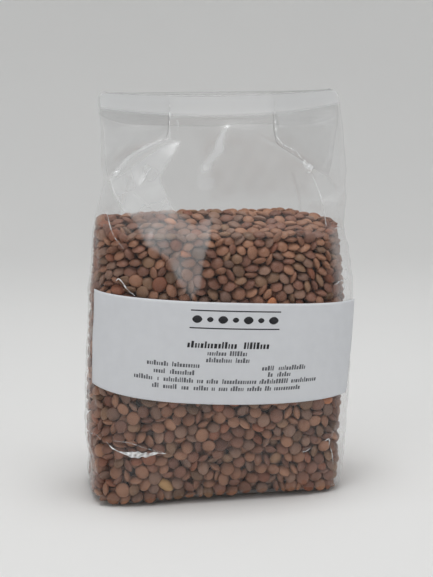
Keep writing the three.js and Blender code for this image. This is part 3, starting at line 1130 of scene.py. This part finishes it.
@dataclass
class BackFlap:
    """The bag's top end, folded over to the back.

    Args:
        form: The bag's form.
        thickness: Thickness of the layers that lie on each other.
        half_width: Half of its width.
        columns: Points across it.
        rows: Points down it behind the bag.
        fold: How far each row in the fold is above the top edge and behind it.
        ends: Height of its lower edge at places across the bag.
    """

    form: BagForm
    thickness: float = 0.35
    half_width: float = 49.6
    columns: int = 91
    rows: int = 14
    fold: tuple[tuple[float, float], ...] = ((-1.3, -1.3), (-0.1, -0.8), (0.1, 0.3))
    ends: Curve = Curve(
        (-49, -45.6, -38.2, -29.3, -20.4, -0.8, 5.6, 23.2, 32.3, 39.7, 46.9, 52),
        (157, 155, 152.6, 151.7, 151.4, 150.9, 151.4, 151.8, 151, 151.4, 152.6, 154.5),
    )

    def build(self) -> None:
        """Builds the flap as a thin closed sheet from the top edge down the back."""
        form = self.form
        p = np.linspace(1, -1, self.columns)
        lean = float(form.value("lean", np.array([form.top]))[0])
        reach = self.half_width * p
        lower = self.ends.at(reach + lean)
        # Its first rows lie in the fold and its others behind the bag.
        rows = [(np.full_like(p, form.top + up), np.full_like(p, back)) for up, back in self.fold]
        for share in np.linspace(0.08, 1, self.rows):
            bulge = 0.6 + share**2 * (0.5 + 0.5 * np.cos(reach / 7.0))
            rows.append((form.top + (lower - form.top) * share, bulge))
        z, behind = (np.array([row[k] for row in rows]) for k in (0, 1))
        x = lean + reach * (1 - (form.corner_cut(reach, z) + 0.7 * (reach > 0)) / self.half_width)
        b = form.value("half_depth", np.minimum(z, form.top).reshape(-1)).reshape(z.shape)
        y = b * (1 - (1 - form.edge_share) * p * p) + behind
        points = np.stack([x, y, z + form.top_rise(x, z)], -1)
        out = np.cross(np.gradient(points, axis=1), np.gradient(points, axis=0))
        out /= np.linalg.norm(out, axis=2, keepdims=True)
        sheet = slab(points, -out, -self.thickness / 2, self.thickness / 2)
        # Painted highlight: the flap scatters more light on its left and in its pressed band, and its fold rows
        # lose some gloss.
        softness = 0.6 + 2.0 * np.exp(-((x / 22) ** 2))
        milk = 0.05 * smoothstep(-x, 0, 25) + 0.3 * smoothstep(form.above_press(x, z), -softness, 0.6)
        milk[: len(self.fold)] = -0.12
        finish = ClearFilm("folded_polypropylene_film", tint="fcfcfc")
        make_piece("film_flap", "bag", "clear_film", sheet, form, finish, milk=np.tile(milk.reshape(-1), 2))


class SeedKind(Enum):
    """The kinds of seed in the bag, each with its coat and its share of the seeds."""

    BROWN = (SeedCoat("brown_seed_coat", "78503e", "aa7b60"), 0.28)
    TAN = (SeedCoat("tan_seed_coat", "7f5743", "b58569"), 0.18)
    UMBER = (SeedCoat("umber_seed_coat", "6a4638", "976a56"), 0.24)
    GREY = (SeedCoat("grey_brown_seed_coat", "705447", "9c7966"), 0.13)
    OLIVE = (SeedCoat("olive_brown_seed_coat", "715440", "9c785d"), 0.09)
    RUSSET = (SeedCoat("russet_seed_coat", "7a4b38", "a2684d"), 0.06)
    BARE = (SeedCoat("bare_split_seed", "b0683f", "d08c62", roughness=0.55), 0.008)
    GRAIN = (SeedCoat("pale_grain", "ac8757", "cba272"), 0.0)


@dataclass
class SeedFill:
    """The lentils: an outer shell of separate seeds round a core, dark with painted shade, that stands for the
    rest.

    Args:
        form: The bag's form.
        wall_count: Seeds behind the film.
        top_count: Seeds on the top of the heap.
        shell: Depth of the shell.
        level: Height of the heap.
        gap: Space between a seed and the film.
        touch: Distance between centres below which seeds can touch.
        steps: Rounds of pushing seeds apart.
        push: Share of an overlap that one round takes away.
        loose_share: Share of the outer seeds that lie any way round.
        spread: Scatter of the tilt of the others, in degrees.
        segments: Sides of a seed's rim.
        seed: Seed of the random numbers.
    """

    form: BagForm
    wall_count: int = 3240
    top_count: int = 420
    shell: float = 7.0
    level: float = 117.2
    gap: float = 0.3
    touch: float = 6.9
    steps: int = 190
    push: float = 0.3
    loose_share: float = 0.16
    spread: float = 23
    segments: int = 14
    seed: int = 20
    radii: Array = field(init=False)
    halves: Array = field(init=False)
    centres: Array = field(init=False)
    axes: Array = field(init=False)
    grain: int = field(init=False)

    def heap(self, x: Array, y: Array) -> Array:
        """Gives the height of the heap's surface, which falls towards the film all round."""
        left, right, edge = smoothstep(-x, 18, 50), smoothstep(x, 27, 42), smoothstep(x, 43, 50)
        return self.level - (1.3 * left + 2.4 * right + 4.2 * edge) - 7.5 * smoothstep(np.abs(y), 2, 25)

    def slack(self, points: Array) -> Array:
        """Gives the extra space between seeds and film, which the right side has most of."""
        x, z = points[:, 0], points[:, 2]
        low_left = 1.3 * np.exp(-(((z - 12) / 7) ** 2)) * smoothstep(-x, 38, 52)
        return 5.6 * smoothstep(x, 41, 55) + 0.2 * smoothstep(-x, 48, 56) + low_left

    def scatter(self, random: np.random.Generator) -> None:
        """Puts the seeds loosely in their shell, the outer ones nearly flat to the film.

        Args:
            random: The source of random numbers.
        """
        form = self.form
        total = self.wall_count + self.top_count
        diameters = np.clip(random.normal(5.5, 0.38, total), 4.6, 6.3)
        self.radii = diameters / 2
        self.halves = np.clip(random.normal(1.36, 0.08, total), 1.2, 1.6)
        heights = random.uniform(1, self.level - 1, self.wall_count)
        outline = form.outlines(heights, 60, 40, tucked=False)
        steps = np.linalg.norm(np.roll(outline, -1, axis=1) - outline, axis=2)
        reach = np.cumsum(steps, axis=1)
        pick = random.uniform(0, 1, self.wall_count) * reach[:, -1]
        i = np.minimum((reach < pick[:, None]).sum(axis=1), outline.shape[1] - 1)
        wall = outline[np.arange(self.wall_count), i]
        _, out = form.wall(wall * [0.98, 0.98, 1])
        depth = random.uniform(1.3, self.shell, self.wall_count)
        wall = wall - out * depth[:, None]
        top = []
        while len(top) < self.top_count:
            x, y = random.uniform(-52, 53), random.uniform(-24, 24)
            point = np.array([[x, y, self.level - random.uniform(1.3, self.shell)]])
            if form.wall(point)[0][0] > 1.5:
                top.append(point[0])
        self.centres = np.concatenate([wall, np.array(top)])
        # Seeds lean back from the film, the more the higher they are in the heap, and turn little sideways.
        tilt = 27 + 30 * smoothstep(heights, 58, 108) + random.normal(0, self.spread, self.wall_count)
        lift = np.radians(tilt)[:, None]
        turn = np.radians(random.normal(0, self.spread, self.wall_count))[:, None]
        upright = np.array([[0.0, 0.0, 1.0]])
        level = out * np.cos(turn) + np.cross(out, upright) * np.sin(turn)
        walls = level * np.cos(lift) + upright * np.sin(lift)
        tops = np.array([(0, place[1] * 0.02, 1) for place in top])
        tops += random.normal(0, 0.3, (self.top_count, 3))
        self.axes = np.concatenate([walls, tops])
        outer = np.concatenate([depth, np.zeros(self.top_count)]) < 3.4
        loose = random.uniform(size=total) < np.where(outer, self.loose_share, 1)
        self.axes = np.where(loose[:, None], random.normal(size=(total, 3)), self.axes)
        # One large pale grain lies low in front.
        self.grain = int(np.argmin(np.linalg.norm(self.centres - [-28.8, -27.5, 10.5], axis=1)))
        self.radii[self.grain], self.halves[self.grain] = 2.9, 1.9
        self.axes[self.grain] = (0.0, -1.0, 0.15)
        self.axes /= np.linalg.norm(self.axes, axis=1, keepdims=True)

    def extent(self, cosine: Array, which: Array | slice = slice(None)) -> Array:
        """Gives how far seeds stand out in a direction.

        Args:
            cosine: Cosine between each seed's axis and the direction.
            which: Numbers of the seeds.

        Returns:
            The distance from their centres to their widest extent.
        """
        return np.sqrt((1 - cosine**2) * self.radii[which] ** 2 + cosine**2 * self.halves[which] ** 2)

    def reach(self, which: Array, cosine: Array) -> Array:
        """Gives how near seeds may come: between their surface and their widest extent.

        Args:
            which: Numbers of the seeds.
            cosine: Cosine between each seed's axis and the direction.

        Returns:
            The reach of each seed.
        """
        surface = 1 / np.sqrt((1 - cosine**2) / self.radii[which] ** 2 + cosine**2 / self.halves[which] ** 2)
        return 0.5 * surface + 0.5 * self.extent(cosine, which)

    def near_pairs(self, reach: float) -> tuple[Array, Array]:
        """Lists the pairs of seeds that are close enough to touch.

        Args:
            reach: Largest distance between their centres.

        Returns:
            The numbers of the first and of the second seed of each pair.
        """
        tree = kdtree.KDTree(len(self.centres))
        for i, centre in enumerate(self.centres):
            tree.insert(centre, i)
        tree.balance()
        first, second = [], []
        for i, centre in enumerate(self.centres):
            for _, j, _ in tree.find_range(centre, reach):
                if j > i:
                    first.append(i)
                    second.append(j)
        return np.array(first), np.array(second)

    def settle(self) -> None:
        """Pushes seeds apart and back inside the film until they lie beside each other."""
        total = len(self.centres)
        everyone = np.arange(total)
        on_top = everyone >= self.wall_count
        first, second = self.near_pairs(self.touch)
        for step in range(self.steps):
            if step % 15 == 14:
                first, second = self.near_pairs(self.touch)
            across = self.centres[second] - self.centres[first]
            apart = np.maximum(np.linalg.norm(across, axis=1), 1e-6)
            direction = across / apart[:, None]
            needed = self.reach(first, np.abs((self.axes[first] * direction).sum(1)))
            needed = needed + self.reach(second, np.abs((self.axes[second] * direction).sum(1)))
            push = np.maximum(needed - apart, 0)[:, None] * direction * self.push
            for axis in range(3):
                self.centres[:, axis] += np.bincount(second, push[:, axis], total)
                self.centres[:, axis] -= np.bincount(first, push[:, axis], total)
            self.hold_inside(on_top)
        log.info("seeds still overlap by %.2f mm on average", float(np.mean(np.maximum(needed - apart, 0))))

    def hold_inside(self, on_top: Array) -> None:
        """Keeps the seeds between film, floor, surface of the heap and core.

        Args:
            on_top: Which seeds belong to the top of the heap.
        """
        upright = self.extent(self.axes[:, 2])
        ceiling = self.heap(self.centres[:, 0], self.centres[:, 1]) - upright
        floor = upright + 0.2 + self.form.foot_lift(self.centres - upright[:, None] * [0, 0, 1])
        self.centres[:, 2] = np.clip(self.centres[:, 2], floor, ceiling)
        sink = np.maximum(ceiling - (self.shell - 2.5) - self.centres[:, 2], 0)
        self.centres[:, 2] += np.where(on_top, 0.3 * sink, 0)
        depth, out = self.form.wall(self.centres)
        least = self.extent((self.axes * out).sum(1)) + self.gap + self.slack(self.centres)
        inward = np.maximum(least - depth, 0)
        outward = np.where(on_top, 0, 0.3 * np.maximum(depth - (least + self.shell - 3.0), 0))
        self.centres += out * (outward - inward)[:, None]

    def template(self) -> tuple[Array, Array]:
        """Draws one lens-shaped seed of unit radius and unit half thickness.

        Returns:
            Its points and its triangles.
        """
        angles = np.arange(self.segments) * 2 * math.pi / self.segments
        rings = []
        for radius, side in ((0.48, 1), (0.84, 1), (1.0, 0), (0.84, -1), (0.48, -1)):
            height = side * (1 - radius**2) ** 0.8
            round_x, round_y = radius * np.cos(angles), radius * np.sin(angles)
            rings.append(np.stack([round_x, round_y, np.full_like(angles, height)], 1))
        points = np.concatenate([[[0, 0, 1.0]], *rings, [[0, 0, -1.0]]])
        triangles = []
        n = self.segments
        last = len(points) - 1
        for i in range(n):
            after = (i + 1) % n
            triangles.append([0, 1 + i, 1 + after])
            for ring in range(len(rings) - 1):
                a, b = 1 + ring * n + i, 1 + ring * n + after
                triangles += [[a, a + n, b + n], [a, b + n, b]]
            triangles.append([last, last - n + after, last - n + i])
        return points, np.array(triangles)

    def dress(self, kinds: Array, random: np.random.Generator) -> None:
        """Makes one piece of each kind of seed.

        Args:
            kinds: Number of each seed's kind.
            random: The source of random numbers.
        """
        points, triangles = self.template()
        total = len(self.centres)
        # The seeds on top of the heap are paler: partly dust, partly painted light from above.
        tone = np.clip(random.normal(0.5, 0.24, total) + 0.38 * smoothstep(self.centres[:, 2], 104, 113), 0, 1)
        stretch = random.normal(1, 0.05, total)
        turn = random.normal(size=(total, 3))
        stretch[self.grain] = 1.32
        turn[self.grain] = np.cross([0.82, 0.0, -0.57], self.axes[self.grain])
        first = np.cross(self.axes, turn)
        first /= np.linalg.norm(first, axis=1, keepdims=True)
        second = np.cross(self.axes, first)
        for number, kind in enumerate(SeedKind):
            coat, _ = kind.value
            which = np.flatnonzero(kinds == number)
            x = (self.radii * stretch)[which, None, None] * first[which, None] * points[None, :, 0:1]
            y = (self.radii / stretch)[which, None, None] * second[which, None] * points[None, :, 1:2]
            z = self.halves[which, None, None] * self.axes[which, None] * points[None, :, 2:3]
            corners = (self.centres[which, None] + x + y + z).reshape(-1, 3)
            offsets = (np.arange(len(which)) * len(points))[:, None, None]
            faces = (triangles[None] + offsets).reshape(-1, 3).tolist()
            name = "lentils_" + kind.name.lower()
            tones = np.repeat(tone[which], len(points))
            make_piece(name, "bag", "lentils", (corners, faces), self.form, coat, tone=tones)

    def build_core(self) -> None:
        """Builds the inside of the heap, dark with painted shade, which shows only in the gaps between seeds."""
        form = self.form
        z = np.concatenate([[0.8, 1.6, 2.8, 4.2], np.linspace(6, self.level - 15, 38)])
        grid = form.outlines(z, 30, 20, tucked=False)
        rows, count = grid.shape[:2]
        flat = grid.reshape(-1, 3) * [0.99, 0.99, 1]
        _, out = form.wall(flat)
        deep = self.shell - 0.8 - 3.4 * (1 - smoothstep(flat[:, 2:3], 0, 6))
        inner = (flat - out * deep).reshape(rows, count, 3)
        inner[:, :, 2] += form.foot_lift(inner)
        dome = [inner[-1] * [1 - 0.3 * k, 1 - 0.3 * k, 1] + [0, 0, 2.4 * k] for k in (1, 2)]
        inner = np.concatenate([inner, np.array(dome)])
        # Painted shade: the core stands for the seeds deep in the heap, their brown darkened for the shade they
        # lie in.
        shade = DullFinish("shaded_deep_lentils", "4e362b", "3c2920", 4.0)
        core = inner.reshape(-1, 3), capped_faces(len(inner), count)
        make_piece("lentils_inner", "bag", "lentils", core, form, shade)

    def build(self) -> None:
        """Builds the seeds and their core."""
        random = np.random.default_rng(self.seed)
        self.scatter(random)
        self.settle()
        shares = np.array([kind.value[1] for kind in SeedKind])
        kinds = random.choice(len(shares), size=len(self.centres), p=shares / shares.sum())
        kinds[self.grain] = len(shares) - 1
        self.dress(kinds, random)
        self.build_core()


@dataclass
class PaperLabel:
    """The label wrapped round the front and both front corners.

    Args:
        form: The bag's form.
        height: Its height.
        centre: Height of its middle.
        left: Distance round the film to its left end.
        right: Distance to its right end.
        slope: Its tilt, as rise over distance.
        left_rise: How far its lower left corner is drawn up by the bulge of the bag.
        right_rise: How far its lower right corner is drawn up.
        gap: Space between film and paper.
        thickness: Thickness of the paper.
        ripple: Height of its slight waves.
        pinch: Share by which its lower edge is drawn in along the film.
        columns: Points across it.
        rows: Points up it.
    """

    form: BagForm
    height: float = 40.6
    centre: float = 62.8
    left: float = -61
    right: float = 55.5
    slope: float = -0.061
    left_rise: float = 4.0
    right_rise: float = 3.3
    gap: float = 0.5
    thickness: float = 0.25
    ripple: float = 0.1
    pinch: float = 0.045
    columns: int = 130
    rows: int = 44

    def place(self, along: Array, above: Array, offset: float) -> Array:
        """Finds points on the label by the distance along it and above its middle line.

        Args:
            along: Distance round from the middle of the front.
            above: Distance above the middle line.
            offset: Distance out from the film.

        Returns:
            Points in the form's frame, of the shape that the arguments have.
        """
        shape = np.shape(along)
        s, t = np.ravel(along), np.ravel(above)
        rise = np.where(s < 0, self.left_rise * (s / self.left) ** 2, self.right_rise * (s / self.right) ** 2)
        s = s * (1 + self.pinch * np.minimum(t, 0) * 2 / self.height)
        t = t + rise * (0.6 - 0.8 * t / self.height)
        points, out = self.form.on_front(self.centre + t + self.slope * s, s - self.slope * t)
        lift = offset + self.ripple * waves(points * [1, 1, 0.5], 26, 8, 31)
        return (points + out * lift[:, None]).reshape(*shape, 3)

    def build(self) -> None:
        """Builds the paper as a thin closed sheet in place of the plain one."""
        along, above = np.meshgrid(
            np.linspace(self.left, self.right, self.columns),
            np.linspace(-self.height / 2, self.height / 2, self.rows),
        )
        inner = self.place(along, above, self.gap)
        out = (self.place(along, above, self.gap + self.thickness) - inner) / self.thickness
        sheet = slab(inner, out, 0, self.thickness)
        make_piece("paper_label", "label", "label_paper", sheet, self.form, LabelPaper())


@dataclass(frozen=True)
class PrintRow:
    """A row of print.

    Args:
        along: Distance round to the row's middle.
        above: Height above the label's middle line.
        words: Length of each word.
        size: Height of its small marks.
    """

    along: float
    above: float
    words: tuple[float, ...]
    size: float


@dataclass
class LabelPrint:
    """The print on the label: rows of small plain marks and one plain ornament.

    Args:
        label: The label that carries it.
        rows: The rows of small print.
        title: The bolder row.
        seed: Seed of the marks' widths.
    """

    label: PaperLabel
    title: PrintRow = PrintRow(-2.8, 3.6, (20.5, 10.5), 2.6)
    rows: tuple[PrintRow, ...] = (
        PrintRow(-2.8, 0.4, (7.5, 7.5), 1.9),
        PrintRow(-2.6, -2.3, (10.5, 5.5), 1.9),
        PrintRow(-24, -4.7, (8.5, 11), 1.9),
        PrintRow(-23.5, -7.7, (5, 10), 1.9),
        PrintRow(21, -5.4, (5.5, 11.5), 1.9),
        PrintRow(19.3, -8.0, (2.5, 5.5), 1.9),
        PrintRow(-1.8, -10.8, (8, 1, 12, 2.5, 5, 14, 12, 11), 1.9),
        PrintRow(-1.5, -13.7, (3, 6, 3.5, 6, 1.5, 3.5, 5.5, 6, 2.5, 11), 1.9),
    )
    seed: int = 7

    def ink(self, along: Array, above: Array) -> Sheet:
        """Lays a thin sheet of ink on the paper.

        Args:
            along: Distance round of each point of its grid.
            above: Height of each point above the label's middle line.

        Returns:
            Its points in the form's frame and its faces.
        """
        paper = self.label.gap + self.label.thickness
        inner, outer = (self.label.place(along, above, paper + lift) for lift in (0.01, 0.01 + INK))
        return slab(inner, (outer - inner) / INK, 0, INK)

    def bar(self, along: float, above: float, width: float, height: float) -> Sheet:
        """Prints a rectangle.

        Args:
            along: Distance round to its middle.
            above: Height of its middle above the label's middle line.
            width: Its width.
            height: Its height.

        Returns:
            Its points and faces.
        """
        across = along + np.linspace(-width / 2, width / 2, max(2, int(width / 1.2) + 2))
        return self.ink(*np.meshgrid(across, above + np.array([-height / 2, height / 2])))

    def oval(self, along: float, above: float, half_width: float, half_height: float) -> Sheet:
        """Prints a lens shape.

        Args:
            along: Distance round to its middle.
            above: Height of its middle above the label's middle line.
            half_width: Half of its width.
            half_height: Half of its height.

        Returns:
            Its points and faces.
        """
        across, up = np.meshgrid(np.linspace(-0.97, 0.97, 15), [-1.0, 1.0])
        return self.ink(along + half_width * across, above + half_height * up * (1 - across**2) ** 0.7)

    def marks(self, row: PrintRow, random: np.random.Generator) -> list[Sheet]:
        """Makes the small marks of a row.

        Args:
            row: The row.
            random: The source of random numbers.

        Returns:
            Points and faces of each mark.
        """
        space = 0.75 * row.size
        length = sum(row.words) + space * (len(row.words) - 1)
        place = row.along - length / 2
        made = []
        for word in row.words:
            end = place + word
            while place < end - 0.2 * row.size:
                width = min(random.uniform(0.2, 0.44) * row.size, end - place)
                tall = row.size * (1.0 if random.uniform() < 0.35 else 0.7)
                made.append(self.bar(place + width / 2, row.above + (tall - row.size) / 2, width, tall))
                place += width + 0.2 * row.size
            place = end + space
        return made

    def ornament(self) -> list[Sheet]:
        """Makes a plain ornament: a row of seed shapes, large and small by turns, between two rules."""
        middle, step = -1.2, 5.1
        made = [self.bar(middle, above, 36.0, 0.45) for above in (17.0, 10.1)]
        for k in range(7):
            size = (1.3, 1.0) if k % 2 else (2.0, 1.5)
            made.append(self.oval(middle + step * (k - 3), 13.55, *size))
        return made

    def build(self) -> None:
        """Builds the bold and the small print."""
        random = np.random.default_rng(self.seed)
        # Toner is nearly black where it is solid; thin strokes let the paper through, so small print is grey.
        bold = DullFinish("bold_toner", "2b2b2e", "343437", 1.0, 0.6)
        small = DullFinish("small_toner", "5d5f63", "6a6c70", 1.0, 0.6)
        titles = self.marks(self.title, random) + self.ornament()
        rows = [mark for row in self.rows for mark in self.marks(row, random)]
        for name, marks, finish in (("print_bold", titles, bold), ("print_small", rows, small)):
            make_piece(name, "label", "label_print", join(marks), self.label.form, finish)


@dataclass(frozen=True)
class Lamp:
    """One soft lamp.

    Args:
        name: Its name.
        place: Where it hangs, in metres.
        aim: What it points at, in metres.
        size: Side of its square panel in metres.
        power: Its power in watts.
    """

    name: str
    place: tuple[float, float, float]
    aim: tuple[float, float, float]
    size: float
    power: float


@dataclass
class Studio:
    """A pale bowl of a floor, soft lamps and the camera of the view.

    Args:
        form: The bag's form, for its shift.
        radius: Radius of the bowl in metres.
        floor_radius: Radius of its flat floor in metres.
        height: Height of its wall in metres.
        lamps: The soft lamps.
        room_light: Strength of the even light of the room.
        camera_place: Place of the lens in the form's frame.
        azimuth: Turn of the view about the upright, in degrees.
        pitch: How far the view points down, in degrees.
        roll: Turn of the picture, in degrees.
        lens: Focal length on a 36 mm film.
    """

    form: BagForm
    radius: float = 1.7
    floor_radius: float = 0.7
    height: float = 1.5
    lamps: tuple[Lamp, ...] = (
        Lamp("lamp_left", (-1.0, -0.9, 1.15), (0, 0, 0.08), 0.9, 2.85),
        Lamp("lamp_right", (1.15, -0.6, 0.8), (0, 0, 0.08), 0.7, 1.15),
        Lamp("lamp_top", (0.0, -0.15, 1.4), (0, 0, 0.08), 0.8, 11.6),
        Lamp("lamp_wall", (0.0, 0.5, 1.45), (0.1, 1.7, 0.3), 1.0, 0.95),
    )
    room_light: float = 0.14
    camera_place: tuple[float, float, float] = (-91.0, -471.4, 161.1)
    azimuth: float = -10.87
    pitch: float = 9.13
    roll: float = -0.25
    lens: float = 72.81

    def build_floor(self) -> None:
        """Builds the bowl: flat under the bag, then curving up into a wall."""
        bend = self.radius - self.floor_radius
        turn = np.linspace(0, math.pi / 2, 24)
        profile = [(r, 0.0) for r in np.linspace(0.02, self.floor_radius, 8)]
        profile += [(self.floor_radius + bend * math.sin(t), bend * (1 - math.cos(t))) for t in turn[1:]]
        profile.append((self.radius, self.height))
        angles = np.linspace(0, 2 * math.pi, 97)[:-1]
        rings = np.array([[(r * math.cos(a), r * math.sin(a), z) for a in angles] for r, z in profile])
        faces = grid_faces(len(profile), len(angles), True)
        faces.append(list(range(len(angles)))[::-1])
        # Matt emulsion paint gives no sheen and hides the bend of the wall.
        paint = DullFinish("studio_emulsion", "efefee", "ebebea", 300.0, 0.9)
        floor = new_object("studio_floor", rings.reshape(-1, 3), [face[::-1] for face in faces], paint)

    def build_lamps(self) -> None:
        """Hangs the lamps and sets the even light of the room."""
        for lamp in self.lamps:
            light = bpy.data.lights.new(lamp.name, "AREA")
            light.size = lamp.size
            light.energy = lamp.power
            holder = bpy.data.objects.new(lamp.name, light)
            place = Vector(lamp.place)
            holder.location = place
            holder.rotation_euler = (Vector(lamp.aim) - place).to_track_quat("-Z", "Y").to_euler()
            holder.visible_camera = False
            bpy.context.scene.collection.objects.link(holder)
        world = bpy.data.worlds.new("even_room_light")
        world.use_nodes = True
        sky = world.node_tree.nodes["Background"].inputs
        sky["Color"].default_value = linear("f4f6f8")
        sky["Strength"].default_value = self.room_light
        bpy.context.scene.world = world

    def build_camera(self) -> None:
        """Sets up the camera at the view's place and angle."""
        data = bpy.data.cameras.new("view")
        data.lens = self.lens
        data.clip_start = 0.01
        camera = bpy.data.objects.new("view", data)
        turn, down, roll = (math.radians(v) for v in (self.azimuth, self.pitch, self.roll))
        ahead = Vector((-math.sin(turn) * math.cos(down), math.cos(turn) * math.cos(down), -math.sin(down)))
        level = Vector((math.cos(turn), math.sin(turn), 0))
        upward = level.cross(ahead)
        right = level * math.cos(roll) + upward * math.sin(roll)
        up = right.cross(ahead)
        place = self.form.to_frame(np.array(self.camera_place))
        camera.matrix_world = Matrix.Translation(place) @ Matrix((right, up, -ahead)).transposed().to_4x4()
        bpy.context.scene.collection.objects.link(camera)
        bpy.context.scene.camera = camera

    def build(self) -> None:
        """Builds floor, lamps and camera."""
        self.build_floor()
        self.build_lamps()
        self.build_camera()
        bpy.context.scene.view_settings.view_transform = "Standard"


def placed_form() -> BagForm:
    """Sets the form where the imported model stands, by the left front corner of its label.

    Returns:
        The form with its shift.
    """
    form = BagForm()
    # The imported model's label is plainer than the paper one: thicker, without waves and a little less tall.
    size = {"height": 40, "centre": 63.1, "right": 56, "gap": 0.35, "thickness": 0.5}
    label = PaperLabel(form, left_rise=3.4, right_rise=2.2, ripple=0, pinch=0, **size)
    along, above = np.meshgrid(np.linspace(label.left, label.right, 45), np.linspace(-20, 20, 9))
    corner = label.place(along, above, label.gap + label.thickness).reshape(-1, 3).min(axis=0)
    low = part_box("label")[0]
    form.shift = (low.x / MM - corner[0], low.y / MM - corner[1])
    return form


def main() -> None:
    """Builds the bag, its fill, its label and the studio."""
    logging.basicConfig(level=logging.INFO, format="%(name)s: %(message)s")
    form = placed_form()
    log.info("form shifted by %.2f, %.2f mm", *form.shift)
    Studio(form).build()
    FilmBag(form).build()
    BackFlap(form).build()
    SeedFill(form).build()
    label = PaperLabel(form)
    label.build()
    LabelPrint(label).build()


if __name__ == "__main__":
    main()
